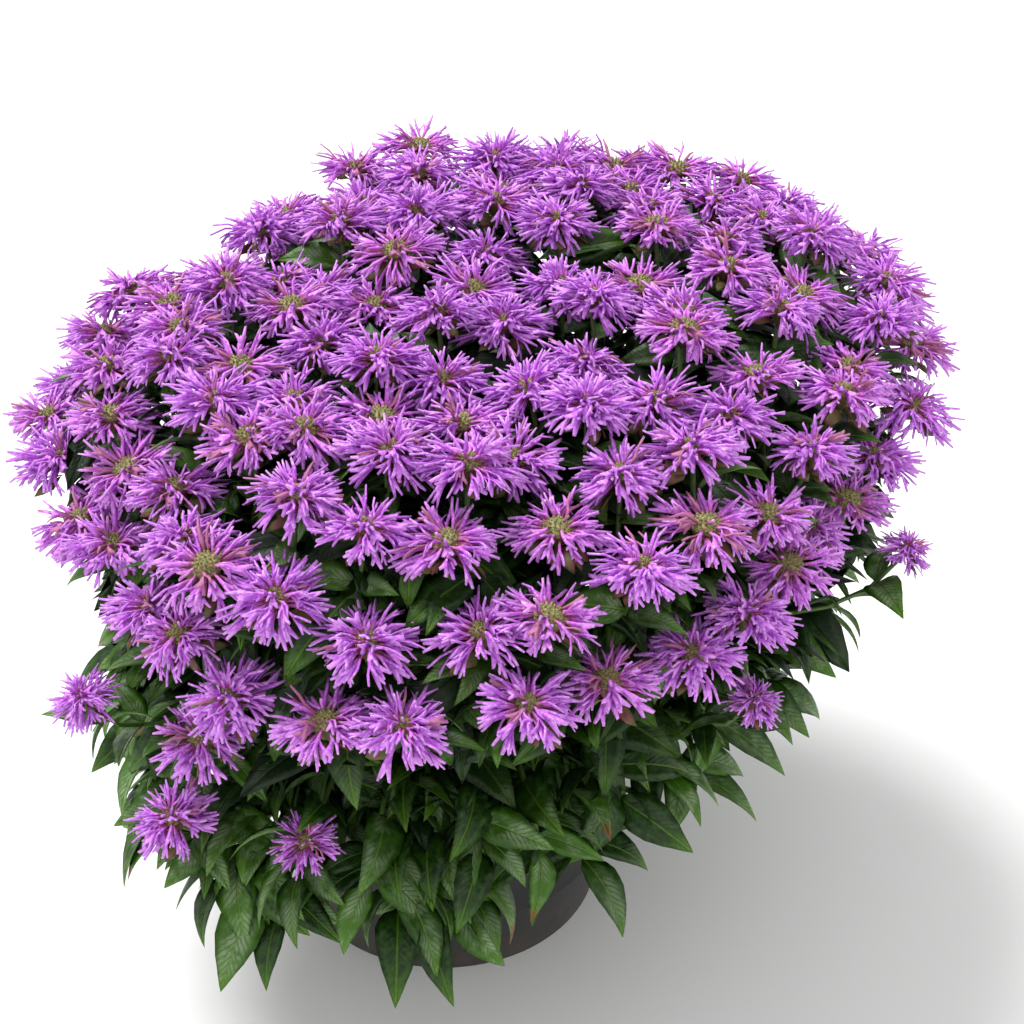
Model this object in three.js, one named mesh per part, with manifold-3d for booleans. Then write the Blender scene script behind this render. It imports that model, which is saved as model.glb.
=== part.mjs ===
import * as THREE from 'three';
import { mergeVertices } from 'three/addons/utils/BufferGeometryUtils.js';
import Module from 'manifold-3d';

// A dwarf bee balm in full bloom in a plain nursery pot, in millimetres, +Z up.
// The origin is the centre of the pot's base, and the plant is seen from -Y.

// Pot and potting mix
const POT_HEIGHT = 190;
const POT_BASE_RADIUS = 115;
const POT_TOP_RADIUS = 143;
const POT_RIM_RADIUS = 150;
const POT_RIM_HEIGHT = 24;
const POT_RIM_EDGE = 2.5;
const POT_SHOULDER = 4;
const POT_FOOT_EDGE = 2;
const POT_WALL = 3;
const POT_FLOOR = 4;
const POT_SIDES = 22;
const DRAIN_COUNT = 5;
const DRAIN_RADIUS = 7;
const DRAIN_SIDES = 8;
const DRAIN_CIRCLE = 78;
const SOIL_TOP = 168;
const SOIL_CROWN = 7;
const SOIL_LUMPS = 2.5;
const SOIL_LUMP_SIZE = 19;
const SOIL_SHOULDER = 5;
const SOIL_EDGE_DROP = 1;
const SOIL_MIDDLE = 0.55;
const FIT_GAP = 0.3;

// Stems, and the holes that they stand in
const STEM_WIDTH = 4.4;
const STEM_DEPTH = 22;
const HOLE_RADIUS = 4;
const HOLE_SIDES = 4;
const STALK_WIDTH = 3;
const STALK_GAP = 0.7;
const STALK_BENT = 100;
const STALK_BOW = 0.42;
const STALK_SIDE_LIMIT = 0.75;
const STALK_OUT_LIMITS = [0.15, 0.85];
const STALK_ROOT = 0.88;
const LOW_STALK_ROOT = 0.15;

// Low side shoots: their reach as a share of the canopy's, and how much further they lean to one side
const SHOOT_WIDTH = 3.4;
const SHOOT_BOW_OUT = POT_RIM_RADIUS + 24;
const SHOOT_BOW_HEIGHT = POT_HEIGHT + 80;
const SHOOT_REACH = 0.8;
const SHOOT_LEAST_REACH = 196;
const SHOOT_LEAN = 42;
const LEAN_AZIMUTH = THREE.MathUtils.degToRad(-128);
const SHOOT_END = 190;
const SHOOT_END_SPREAD = 14;
const SHOOT_ROOT = { across: 0.1, out: 0.7, up: 0.08 };
const SHOOT_STEPS = 3;

// Flower canopy: its reach from the pot's axis every 20 degrees, anticlockwise from +X
const REACH = [312, 372, 408, 402, 376, 344, 262, 216, 268, 256, 234, 230, 254, 272, 266, 260, 256, 272];
const CANOPY_BASE = 298;
const CANOPY_RISE = 160;
const CANOPY_TILT = 0.13;
const CANOPY_POWER = 3.6;
const CANOPY_EDGE = THREE.MathUtils.degToRad(74);

// How the plant opens out above the soil: its share of the full spread at each height
const FLARE = [[180, 0.32], [225, 0.44], [270, 0.68], [315, 0.9], [360, 1]];

// Flower heads
const HEAD_COUNT = 132;
const HEAD_SPACING = 64;
const HEAD_NUDGES = 60;
const HEAD_NUDGE = 0.3;
const HEAD_RADIUS = 30;
const HEAD_SPREAD = 4;
const HEAD_LIFT = 18;
const HEAD_OUTWARD = 0.25;
const HEAD_UPRIGHT = 0.75;
const HEAD_TIP = 0.3;
const HEAD_TOP = 0.3;
const HEAD_BASE = -0.38;
const FLORETS = 8;
const FLORET_SHORTEST = 0.94;
const FLORET_SPREAD = 0.12;
const FLORET_LIFTS = [0.24, -0.2];
const DISC_LIFT = 0.02;
const DISC_SHARE = 0.56;
const GOLDEN_ANGLE = Math.PI * (3 - Math.sqrt(5));

// Joined heads: how far off a neighbour can be, and the room that a joining floret keeps on its way
const NEAR_HEADS = 2.4;
const WAY_SAMPLES = [0.2, 0.35, 0.5, 0.65, 0.8];
const WAY_ROOM = 1;
const WAY_ROOT_ROOM = 10;

// Low heads that stand out of the leaves: azimuth in degrees, radius, height and head radius
const LOW_HEAD_OUTWARD = 0.35;
const LOW_HEAD_UPRIGHT = 0.9;
const LOW_HEADS = [
  [-124, 238, 282, 30],
  [-125, 264, 236, 26],
  [-141, 268, 288, 21],
  [-107, 243, 232, 21],
  [-11, 322, 322, 17],
  [-42, 262, 292, 18],
  [38, 318, 285, 24],
  [83, 345, 290, 25],
  [118, 268, 268, 24],
  [172, 262, 276, 25],
];

// Rings of leafy stems: how many, where each stands, and the ring's outer limit
const RINGS = [
  { count: 3, seat: 0.15, limit: 0.28 },
  { count: 7, seat: 0.44, limit: 0.6 },
  { count: 14, seat: 0.7, limit: Infinity },
];

// Core of each leafy stem: dense inner foliage that its leaves and flower stalks stand out of
const CORE_FOOT = 238;
const CORE_DEPTH = 52;
const CORE_LIMIT = 0.8;
const CORE_GAP = 1.5;
const CORE_INSET = 0.07;
const CORE_LUMPS = 7;
const CORE_DENT = 0.06;
const CORE_LEAST_RADIUS = 8;
const CORE_ROOTED = 6;

// Leaves
const LEAF_LENGTH = 62;
const LEAF_WIDTH = 23;
const LEAF_THICKNESS = 1.5;
const LEAF_FOLD = 0.28;
const LEAF_CLEARANCE = 3;
const LEAF_OFF_HEADS = 1.05;
const LEAF_SAMPLES = [0.25, 0.5, 0.75, 0.999];
const LEAF_BANDS = 3;
const LEAF_BLUNTNESS = 0.8;
const LEAF_BELOW_CANOPY = 22;
const LEAF_ABOVE_RIM = 6;
const LEAF_PAST_RIM = 8;
const LEAF_ABOVE_SOIL = 14;
const LEAF_TRIES = 8;
const LEAF_TURN_BACK = 0.78;
const LEAF_SHORTENING = 0.94;

// Leaves of the core's wall and roof and of the low shoots. Angles are in degrees, lengths are shares
// of the full one, and a pair of numbers is a range to draw from.
const WALL_LEAF = {
  across: 0.7, out: 0.86, up: [-0.04, 0.04], fan: -34, turn: [-10, 10], lift: [14, 28], droop: [-58, -72],
  length: [0.9, 1.15],
};
const ROOF_LEAF = {
  across: 1.3, out: [0.3, 0.8], up: 0.95, fan: -60, turn: [-30, 30], lift: [48, 62], droop: -30, length: 0.85,
};
const SHOOT_LEAF = { droop: [-66, -78], length: [1, 1.25] };

// Rows of wall leaves: each row's height up the core, and its leaves' places across it
const WALL_ROWS = [
  { up: 0.12, places: [-0.6, 0.6] },
  { up: 0.38, places: [-0.85, 0, 0.85] },
  { up: 0.64, places: [-0.6, 0.6] },
];

// Leaves of a low shoot: place along it, turn to its side and lift, both in degrees
const SHOOT_LEAVES = [
  [0.97, 4, -8],
  [0.92, -40, 4],
  [0.88, 40, 4],
  [0.76, 16, 18],
  [0.6, -54, 20],
  [0.56, 54, 20],
];

// Leaves on the roof of each core inside the outer ring
const ROOF_LEAVES = 2;

const UP = new THREE.Vector3(0, 0, 1);
const TURN = Math.PI * 2;
const degrees = THREE.MathUtils.degToRad;

const wasm = await Module();
wasm.setup();

const potPlastic = new THREE.MeshStandardMaterial({ color: '#2c2c2e', roughness: 0.55, metalness: 0 });
const pottingMix = new THREE.MeshStandardMaterial({ color: '#33251b', roughness: 0.95, metalness: 0 });
const foliage = new THREE.MeshStandardMaterial({ color: '#3a5520', roughness: 0.5, metalness: 0 });
const petals = new THREE.MeshStandardMaterial({ color: '#b469c9', roughness: 0.65, metalness: 0 });

// A repeatable draw between 0 and 1
function draw(index, channel) {
  const value = Math.sin(12.9898 * index + 78.233 * channel) * 43758.5453;
  return value - Math.floor(value);
}

function drawBetween([low, high], index, channel) {
  return low + (high - low) * draw(index, channel);
}

// A closed geometry as a solid, with its shared corners merged
function solid(geometry) {
  geometry.deleteAttribute('normal');
  geometry.deleteAttribute('uv');
  const merged = mergeVertices(geometry, 1e-4);
  return new wasm.Manifold(new wasm.Mesh({
    numProp: 3,
    vertProperties: new Float32Array(merged.attributes.position.array),
    triVerts: new Uint32Array(merged.index.array),
  }));
}

function joined(solids) {
  return solids.reduce((whole, piece) => whole.add(piece));
}

function meshOf(name, piece, material) {
  const data = piece.getMesh();
  const geometry = new THREE.BufferGeometry();
  geometry.setAttribute('position', new THREE.BufferAttribute(data.vertProperties, data.numProp));
  geometry.setIndex(new THREE.BufferAttribute(data.triVerts, 1));
  geometry.computeVertexNormals();
  const mesh = new THREE.Mesh(geometry, material);
  mesh.name = name;
  return mesh;
}

// A route through given points, with one step of the sweep from each point to the next.
// Its last face can be square to a finishing direction.
class Route extends THREE.Curve {
  constructor(points, finish) {
    super();
    this.points = points;
    this.finish = finish;
  }

  getPoint(t, target = new THREE.Vector3()) {
    const place = t * (this.points.length - 1);
    const first = Math.min(Math.floor(place + 1e-9), this.points.length - 2);
    return target.lerpVectors(this.points[first], this.points[first + 1], place - first);
  }

  getPointAt(u, target) {
    return this.getPoint(u, target);
  }

  getTangentAt(u, target = new THREE.Vector3()) {
    if (u === 1 && this.finish) {
      return target.copy(this.finish);
    }
    const step = 1 / (this.points.length - 1);
    const behind = this.getPoint(Math.max(0, u - step));
    const ahead = this.getPoint(Math.min(1, u + step));
    return target.subVectors(ahead, behind).normalize();
  }
}

// A stem with flat sides of a given width, swept along its route
function rod(route, width, sides) {
  const section = new THREE.Shape();
  const radius = width / (2 * Math.sin(Math.PI / sides));
  for (let i = 0; i < sides; i++) {
    const angle = (i / sides) * TURN;
    section[i ? 'lineTo' : 'moveTo'](radius * Math.cos(angle), radius * Math.sin(angle));
  }
  return solid(new THREE.ExtrudeGeometry(section, { steps: route.points.length - 1, extrudePath: route }));
}

function polar(radius, angle, height) {
  return new THREE.Vector3(radius * Math.cos(angle), radius * Math.sin(angle), height);
}

// Reach of the canopy at an azimuth, as a smooth closed curve through REACH
function reach(azimuth) {
  const place = THREE.MathUtils.euclideanModulo(azimuth / TURN, 1) * REACH.length;
  const first = Math.floor(place) % REACH.length;
  const t = place - Math.floor(place);
  const [a, b, c, d] = [-1, 0, 1, 2].map((k) => REACH[(first + k + REACH.length) % REACH.length]);
  return b + 0.5 * t * (c - a + t * (2 * a - 5 * b + 4 * c - d + t * (3 * (b - c) + d - a)));
}

// Share of its full spread that the plant has at a height
function flare(height) {
  if (height <= FLARE[0][0]) {
    return FLARE[0][1];
  }
  const next = FLARE.findIndex(([mark]) => mark > height);
  if (next < 0) {
    return FLARE.at(-1)[1];
  }
  const [low, lowShare] = FLARE[next - 1];
  const [high, highShare] = FLARE[next];
  return lowShare + ((highShare - lowShare) * (height - low)) / (high - low);
}

// Place across the plant that stays the same along a stem: 0 on the axis, 1 at the canopy's edge
function spreadOf(point) {
  const azimuth = Math.atan2(point.y, point.x);
  return Math.hypot(point.x, point.y) / (reach(azimuth) * flare(point.z));
}

// The canopy is a flat-topped dome that stands a little higher at the back
function onCanopy(azimuth, angle) {
  const out = reach(azimuth) * Math.sin(angle) ** (2 / CANOPY_POWER);
  const point = polar(out, azimuth, CANOPY_RISE * Math.cos(angle) ** (2 / CANOPY_POWER));
  point.z += CANOPY_BASE + CANOPY_TILT * point.y;
  return point;
}

function riseOf(point) {
  return Math.max(0, point.z - CANOPY_BASE - CANOPY_TILT * point.y) / CANOPY_RISE;
}

// The canopy's point straight out from its middle through a given point
function backOnCanopy(point) {
  const azimuth = Math.atan2(point.y, point.x);
  const out = Math.hypot(point.x, point.y) / reach(azimuth);
  const angle = Math.atan2(out ** (CANOPY_POWER / 2), riseOf(point) ** (CANOPY_POWER / 2));
  return onCanopy(azimuth, Math.min(angle, CANOPY_EDGE));
}

function canopyNormal(point) {
  const azimuth = Math.atan2(point.y, point.x);
  const edge = reach(azimuth);
  const out = (Math.hypot(point.x, point.y) / edge) ** (CANOPY_POWER - 1) / edge;
  const rise = riseOf(point) ** (CANOPY_POWER - 1) / CANOPY_RISE;
  return polar(out, azimuth, rise).normalize();
}

// Height of the canopy over a point, or its base beyond the edge
function canopyHeight(point) {
  const share = Math.hypot(point.x, point.y) / reach(Math.atan2(point.y, point.x));
  const rest = Math.max(0, 1 - share ** CANOPY_POWER);
  return CANOPY_BASE + CANOPY_TILT * point.y + CANOPY_RISE * rest ** (1 / CANOPY_POWER);
}

// Spreads the heads evenly over the canopy: a spiral, then rounds in which near ones push apart
function spreadHeads() {
  let places = [];
  for (let i = 0; i < HEAD_COUNT; i++) {
    const share = Math.sqrt((i + 0.5) / HEAD_COUNT);
    places.push(onCanopy(i * GOLDEN_ANGLE, CANOPY_EDGE * share));
  }
  for (let round = 0; round < HEAD_NUDGES; round++) {
    places = places.map((place) => {
      const moved = place.clone();
      for (const other of places) {
        const apart = place.clone().sub(other);
        const gap = apart.length();
        if (gap > 0 && gap < HEAD_SPACING) {
          moved.addScaledVector(apart, (HEAD_NUDGE * (HEAD_SPACING - gap)) / gap);
        }
      }
      return backOnCanopy(moved);
    });
  }
  return places;
}

function canopyHeads() {
  return spreadHeads().map((place, i) => {
    const axis = canopyNormal(place).multiplyScalar(HEAD_OUTWARD).addScaledVector(UP, HEAD_UPRIGHT);
    axis.x += HEAD_TIP * (draw(i, 1) - 0.5);
    axis.y += HEAD_TIP * (draw(i, 2) - 0.5);
    axis.normalize();
    const centre = place.clone().addScaledVector(axis, HEAD_LIFT * (draw(i, 3) - 0.5));
    return { index: i, centre, axis, radius: HEAD_RADIUS + HEAD_SPREAD * draw(i, 4) };
  });
}

function lowHeads() {
  return LOW_HEADS.map(([azimuth, out, height, radius], i) => {
    const centre = polar(out, degrees(azimuth), height);
    const axis = polar(LOW_HEAD_OUTWARD, degrees(azimuth), LOW_HEAD_UPRIGHT).normalize();
    return { index: HEAD_COUNT + i, centre, axis, radius, low: true };
  });
}

// Cells: the part of the plant's space that each leafy stem fills
function makeCells() {
  const cells = [];
  let inner = 0;
  for (const ring of RINGS) {
    for (let k = 0; k < ring.count; k++) {
      const width = TURN / ring.count;
      cells.push({ heading: (k + 0.5) * width, half: width / 2, seat: ring.seat, inner, outer: ring.limit });
    }
    inner = ring.limit;
  }
  return cells;
}

function angleFrom(point, heading) {
  const angle = Math.atan2(point.y, point.x) - heading;
  return Math.atan2(Math.sin(angle), Math.cos(angle));
}

function cellOf(point, cells) {
  const spread = spreadOf(point);
  return cells.find((cell) => spread >= cell.inner && spread < cell.outer
    && Math.abs(angleFrom(point, cell.heading)) <= cell.half + 1e-9);
}

// Whether a point lies in a cell, with a clearance to its walls
function inCell(point, cell, clearance) {
  const out = Math.hypot(point.x, point.y);
  const scale = reach(Math.atan2(point.y, point.x)) * flare(point.z);
  const side = out * Math.sin(cell.half - Math.abs(angleFrom(point, cell.heading)));
  return side > clearance
    && (cell.inner === 0 || out - cell.inner * scale > clearance)
    && cell.outer * scale - out > clearance;
}

// Point of a cell's main stem at a height
function stemPoint(cell, height) {
  return polar(cell.seat * reach(cell.heading) * flare(height), cell.heading, height);
}

// Flower head: a star of florets round a low dome, each floret cut off half way to the next head.
// A head that is joined to another turns so that its first floret points there.
function headSolid(head, heads, bridge) {
  const { centre, axis, radius } = head;
  const side = new THREE.Vector3().crossVectors(axis, UP).normalize();
  if (side.lengthSq() < 0.5) {
    side.set(1, 0, 0);
  }
  const front = new THREE.Vector3().crossVectors(side, axis);
  const near = heads.filter((other) => {
    const gap = other.centre.distanceTo(centre);
    return gap > 0 && gap < NEAR_HEADS * radius;
  });
  const clipped = (offset) => {
    const length = offset.length();
    let allowed = length;
    for (const other of near) {
      const apart = other.centre.clone().sub(centre);
      const half = apart.length() / 2 - FIT_GAP;
      const along = offset.dot(apart.normalize()) / length;
      if (along > 0) {
        allowed = Math.min(allowed, half / along);
      }
    }
    return offset.clone().multiplyScalar(allowed / length);
  };
  const toward = bridge && bridge.centre.clone().sub(centre);
  const ringTurn = bridge ? Math.atan2(toward.dot(front), toward.dot(side)) : TURN * draw(head.index, 5);
  const points = [];
  for (let k = 0; k < 2 * FLORETS; k++) {
    const angle = ringTurn + (k * Math.PI) / FLORETS;
    const floret = k % 2 === 0;
    const lift = floret ? FLORET_LIFTS[(k / 2) % 2] : DISC_LIFT;
    const out = floret ? FLORET_SHORTEST + FLORET_SPREAD * draw(head.index, 10 + k) : DISC_SHARE;
    const offset = side.clone().multiplyScalar(out * radius * Math.cos(angle))
      .addScaledVector(front, out * radius * Math.sin(angle))
      .addScaledVector(axis, lift * radius);
    points.push(clipped(offset));
  }
  if (bridge) {
    points[0] = toward;
  }
  const top = clipped(axis.clone().multiplyScalar(HEAD_TOP * radius));
  const base = clipped(axis.clone().multiplyScalar(HEAD_BASE * radius));
  const star = new THREE.SphereGeometry(1, 2 * FLORETS, 2);
  const corners = star.attributes.position;
  for (let i = 0; i < corners.count; i++) {
    const angle = Math.atan2(corners.getZ(i), corners.getX(i));
    const k = Math.round(THREE.MathUtils.euclideanModulo(angle / TURN, 1) * 2 * FLORETS) % (2 * FLORETS);
    const pole = corners.getY(i) > 0.5 ? top : base;
    const offset = Math.abs(corners.getY(i)) > 0.5 ? pole : points[k];
    corners.setXYZ(i, centre.x + offset.x, centre.y + offset.y, centre.z + offset.z);
  }
  return solid(star);
}

// Whether the way between two heads stays clear of every head outside their group
function openWay(from, to, group, heads) {
  return WAY_SAMPLES.every((t) => {
    const point = from.centre.clone().lerp(to.centre, t);
    const own = Math.min(point.distanceTo(from.centre), point.distanceTo(to.centre));
    const room = own + WAY_ROOT_ROOM * (1 - t) + WAY_ROOM;
    return heads.every((other) => group.includes(other) || point.distanceTo(other.centre) > room);
  });
}

// Grows each group of heads from its middle: every head reaches the nearest one that is already joined
function joinGroup(group, heads) {
  const middle = group.reduce((sum, head) => sum.add(head.centre), new THREE.Vector3());
  middle.divideScalar(group.length);
  const waiting = [...group].sort((a, b) => a.centre.distanceTo(middle) - b.centre.distanceTo(middle));
  const done = [waiting.shift()];
  const links = new Map();
  while (waiting.length) {
    let best = null;
    for (const head of waiting) {
      for (const parent of done) {
        const gap = head.centre.distanceTo(parent.centre);
        if ((!best || gap < best.gap) && openWay(head, parent, group, heads)) {
          best = { head, parent, gap };
        }
      }
    }
    if (!best) {
      break;
    }
    links.set(best.head, best.parent);
    done.push(best.head);
    waiting.splice(waiting.indexOf(best.head), 1);
  }
  return { done, links, left: waiting };
}

// Leaf: a folded lance-shaped blade that arches from its root
function leafFrame(leaf, t) {
  const start = leaf.lift;
  const bend = leaf.droop - leaf.lift;
  const now = start + bend * t;
  const heading = polar(1, leaf.azimuth, 0);
  const along = (leaf.length * (Math.sin(now) - Math.sin(start))) / bend;
  const rise = (leaf.length * (Math.cos(start) - Math.cos(now))) / bend;
  const centre = leaf.root.clone().addScaledVector(heading, along).addScaledVector(UP, rise);
  const tangent = heading.clone().multiplyScalar(Math.cos(now)).addScaledVector(UP, Math.sin(now));
  const normal = heading.clone().multiplyScalar(-Math.sin(now)).addScaledVector(UP, Math.cos(now));
  const across = new THREE.Vector3().crossVectors(tangent, normal);
  const half = 0.5 * leaf.width * Math.sin(Math.PI * t ** LEAF_BLUNTNESS);
  return { centre, normal, across, half };
}

function leafPoint(leaf, t, side, face) {
  const { centre, normal, across, half } = leafFrame(leaf, t);
  return centre.clone().addScaledVector(across, side * half)
    .addScaledVector(normal, Math.abs(side) * half * LEAF_FOLD + face * 0.5 * LEAF_THICKNESS);
}

function leafSolid(leaf) {
  const blade = new THREE.SphereGeometry(1, 4, LEAF_BANDS);
  const corners = blade.attributes.position;
  for (let i = 0; i < corners.count; i++) {
    const t = 1 - Math.acos(THREE.MathUtils.clamp(corners.getY(i), -1, 1)) / Math.PI;
    const side = Math.abs(corners.getX(i)) > 0.1 ? Math.sign(corners.getX(i)) : 0;
    const face = Math.abs(corners.getZ(i)) > 0.1 ? Math.sign(corners.getZ(i)) : 0;
    const point = leafPoint(leaf, t, side, face);
    corners.setXYZ(i, point.x, point.y, point.z);
  }
  return solid(blade);
}

// Whether a leaf keeps clear of the heads, the canopy, the pot and the next stems' space
function leafFits(leaf, cell, heads) {
  const samples = [];
  for (const t of LEAF_SAMPLES) {
    for (const side of [-1, 0, 1]) {
      samples.push(leafPoint(leaf, t, side, 0));
    }
  }
  return samples.every((point) => {
    const out = Math.hypot(point.x, point.y);
    const offHeads = ({ centre, radius }) => point.distanceTo(centre) > LEAF_OFF_HEADS * radius + LEAF_CLEARANCE;
    return inCell(point, cell, LEAF_CLEARANCE)
      && point.z < canopyHeight(point) - LEAF_BELOW_CANOPY
      && (out > POT_RIM_RADIUS + LEAF_PAST_RIM || point.z > POT_HEIGHT + LEAF_ABOVE_RIM)
      && (out > POT_TOP_RADIUS || point.z > SOIL_TOP + LEAF_ABOVE_SOIL)
      && heads.every(offHeads);
  });
}

// A leaf that would cross another stem's space is turned back toward its own, then shortened
function fitLeaf(root, cell, turn, lift, droop, length, heads) {
  for (let tries = 0; tries < LEAF_TRIES; tries++) {
    const leaf = {
      root,
      azimuth: cell.heading + turn * LEAF_TURN_BACK ** tries,
      lift,
      droop,
      length: length * LEAF_SHORTENING ** tries,
      width: (LEAF_WIDTH * length) / LEAF_LENGTH,
    };
    if (leafFits(leaf, cell, heads)) {
      return leaf;
    }
  }
  return null;
}

// A corner of a cell's core: across from -1 to 1, out from its inner wall to its outer one, and up
function corePoint(cell, across, out, up) {
  const limit = Math.min(cell.outer, CORE_LIMIT);
  const inner = cell.inner ? cell.inner + CORE_INSET : 0;
  const margin = (radius) => Math.asin(CORE_GAP / radius);
  const azimuthAt = (radius) => cell.heading - across * (cell.half - margin(radius));
  const wide = reach(cell.heading) * THREE.MathUtils.lerp(inner, limit, out);
  const roof = polar(wide, azimuthAt(Math.max(CORE_LEAST_RADIUS, wide)), 0);
  const height = THREE.MathUtils.lerp(CORE_FOOT, canopyHeight(roof) - CORE_DEPTH, up);
  const scale = reach(Math.atan2(roof.y, roof.x)) * flare(height);
  const start = Math.max(CORE_LEAST_RADIUS, inner * scale);
  const radius = THREE.MathUtils.lerp(start, limit * scale - CORE_GAP, out);
  return polar(radius, azimuthAt(radius), height);
}

// A core's corners, uneven on its top and outer wall, and from them the place of any point in it
function makeCore(cell, index) {
  const corners = [];
  for (let i = 0; i < 18; i++) {
    const [across, out, up] = [(i % 3) - 1, Math.floor(i / 3) % 2, Math.floor(i / 6) / 2];
    const key = 30 * index + i;
    const dent = out === 1 && across === 0 ? CORE_DENT * draw(key, 40) : 0;
    const corner = corePoint(cell, across, out - dent, up);
    corner.z -= up === 1 ? CORE_LUMPS * draw(key, 41) : 0;
    corners.push(corner);
  }
  return (across, out, up) => {
    const place = [across + 1, out, 2 * up];
    const low = [place[0] < 1 ? 0 : 1, 0, place[2] < 1 ? 0 : 1];
    const point = new THREE.Vector3();
    for (let i = 0; i < 8; i++) {
      const step = [i % 2, Math.floor(i / 2) % 2, Math.floor(i / 4)];
      const shares = step.map((on, k) => (on ? place[k] - low[k] : 1 - place[k] + low[k]));
      const [a, b, c] = step.map((on, k) => low[k] + on);
      point.addScaledVector(corners[a + 3 * b + 6 * c], shares[0] * shares[1] * shares[2]);
    }
    return point;
  };
}

function coreSolid(core) {
  const block = new THREE.BoxGeometry(2, 1, 1, 2, 1, 2);
  const corners = block.attributes.position;
  for (let i = 0; i < corners.count; i++) {
    const point = core(corners.getX(i), corners.getY(i) + 0.5, corners.getZ(i) + 0.5);
    corners.setXYZ(i, point.x, point.y, point.z);
  }
  return solid(block);
}

// Leaves in rows on the outer wall of a core, each row shifted half way from the last
function wallLeaves(core, cell, index, heads) {
  const leaves = [];
  WALL_ROWS.forEach(({ up, places }, row) => {
    places.forEach((across, k) => {
      const key = 40 * index + 10 * row + k;
      const root = core(WALL_LEAF.across * across, WALL_LEAF.out, up + drawBetween(WALL_LEAF.up, key, 19));
      const turn = degrees(WALL_LEAF.fan * across + drawBetween(WALL_LEAF.turn, key, 20));
      const lift = degrees(drawBetween(WALL_LEAF.lift, key, 21));
      const droop = degrees(drawBetween(WALL_LEAF.droop, key, 22));
      const length = LEAF_LENGTH * drawBetween(WALL_LEAF.length, key, 23);
      leaves.push(fitLeaf(root, cell, turn, lift, droop, length, heads));
    });
  });
  return leaves;
}

// Shorter leaves that stand up out of the top of a core, between the flower stalks
function roofLeaves(core, cell, index, heads) {
  const leaves = [];
  for (let k = 0; k < ROOF_LEAVES; k++) {
    const key = 40 * index + 30 + k;
    const across = ROOF_LEAF.across * (k / (ROOF_LEAVES - 1) - 0.5);
    const root = core(across, drawBetween(ROOF_LEAF.out, key, 26), ROOF_LEAF.up);
    const turn = degrees(ROOF_LEAF.fan * across + drawBetween(ROOF_LEAF.turn, key, 20));
    const lift = degrees(drawBetween(ROOF_LEAF.lift, key, 21));
    const length = LEAF_LENGTH * ROOF_LEAF.length;
    leaves.push(fitLeaf(root, cell, turn, lift, degrees(ROOF_LEAF.droop), length, heads));
  }
  return leaves;
}

// A low side shoot that arches over the pot's rim
function lowShoot(core, cell, index) {
  const start = core(SHOOT_ROOT.across, SHOOT_ROOT.out, SHOOT_ROOT.up);
  const bow = polar(SHOOT_BOW_OUT, cell.heading, SHOOT_BOW_HEIGHT);
  const lean = SHOOT_LEAN * Math.max(0, Math.cos(cell.heading - LEAN_AZIMUTH)) ** 3;
  const out = Math.max(SHOOT_LEAST_REACH, SHOOT_REACH * reach(cell.heading) + lean);
  const end = polar(out, cell.heading, SHOOT_END + SHOOT_END_SPREAD * draw(index, 30));
  return new Route(new THREE.QuadraticBezierCurve3(start, bow, end).getPoints(SHOOT_STEPS));
}

// The leaves that a low shoot hangs outside the pot: one at its tip and the rest up its sides
function shootLeaves(shoot, cell, index, heads) {
  return SHOOT_LEAVES.map(([t, turn, lift], k) => {
    const key = 40 * index + 34 + k;
    const length = LEAF_LENGTH * drawBetween(SHOOT_LEAF.length, key, 24);
    const droop = degrees(drawBetween(SHOOT_LEAF.droop, key, 25));
    return fitLeaf(shoot.getPoint(t), cell, degrees(turn), degrees(lift), droop, length, heads);
  });
}

// Flower stalk: out of the core below its head, and up to meet the head along the head's own axis
function stalkOf(core, cell, head) {
  const base = head.centre.clone().addScaledVector(head.axis, HEAD_BASE * head.radius - STALK_GAP);
  const spread = Math.hypot(base.x, base.y) / (reach(cell.heading) * flare(base.z));
  const share = (spread - cell.inner) / (Math.min(cell.outer, CORE_LIMIT) - cell.inner);
  const aside = -angleFrom(base, cell.heading) / cell.half;
  const across = THREE.MathUtils.clamp(aside, -STALK_SIDE_LIMIT, STALK_SIDE_LIMIT);
  const up = head.low ? LOW_STALK_ROOT : STALK_ROOT;
  const start = core(across, THREE.MathUtils.clamp(share, ...STALK_OUT_LIMITS), up);
  const bend = base.clone().addScaledVector(head.axis, -STALK_BOW * base.distanceTo(start));
  const curve = new THREE.QuadraticBezierCurve3(start, bend, base);
  return new Route(curve.getPoints(base.distanceTo(start) > STALK_BENT ? 2 : 1), head.axis);
}

function leafyStem(cell, index, ownHeads, heads) {
  const marks = [SOIL_TOP - STEM_DEPTH + FIT_GAP, FLARE[0][0], FLARE[1][0], CORE_FOOT + CORE_ROOTED];
  const stem = new Route(marks.map((height) => stemPoint(cell, height)));
  const core = makeCore(cell, index);
  const pieces = [coreSolid(core), rod(stem, STEM_WIDTH, 4)];
  ownHeads.forEach((head) => pieces.push(rod(stalkOf(core, cell, head), STALK_WIDTH, 3)));
  const leaves = [];
  if (cell.outer === Infinity) {
    const shoot = lowShoot(core, cell, index);
    pieces.push(rod(shoot, SHOOT_WIDTH, 3));
    leaves.push(...wallLeaves(core, cell, index, heads), ...shootLeaves(shoot, cell, index, heads));
  } else {
    leaves.push(...roofLeaves(core, cell, index, heads));
  }
  leaves.filter(Boolean).forEach((leaf) => pieces.push(leafSolid(leaf)));
  return joined(pieces);
}

// Pot: thin tapered wall, band under a rolled rim, flat floor with drain holes
function potOuterRadius(height) {
  return THREE.MathUtils.lerp(POT_BASE_RADIUS, POT_TOP_RADIUS, height / POT_HEIGHT);
}

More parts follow.
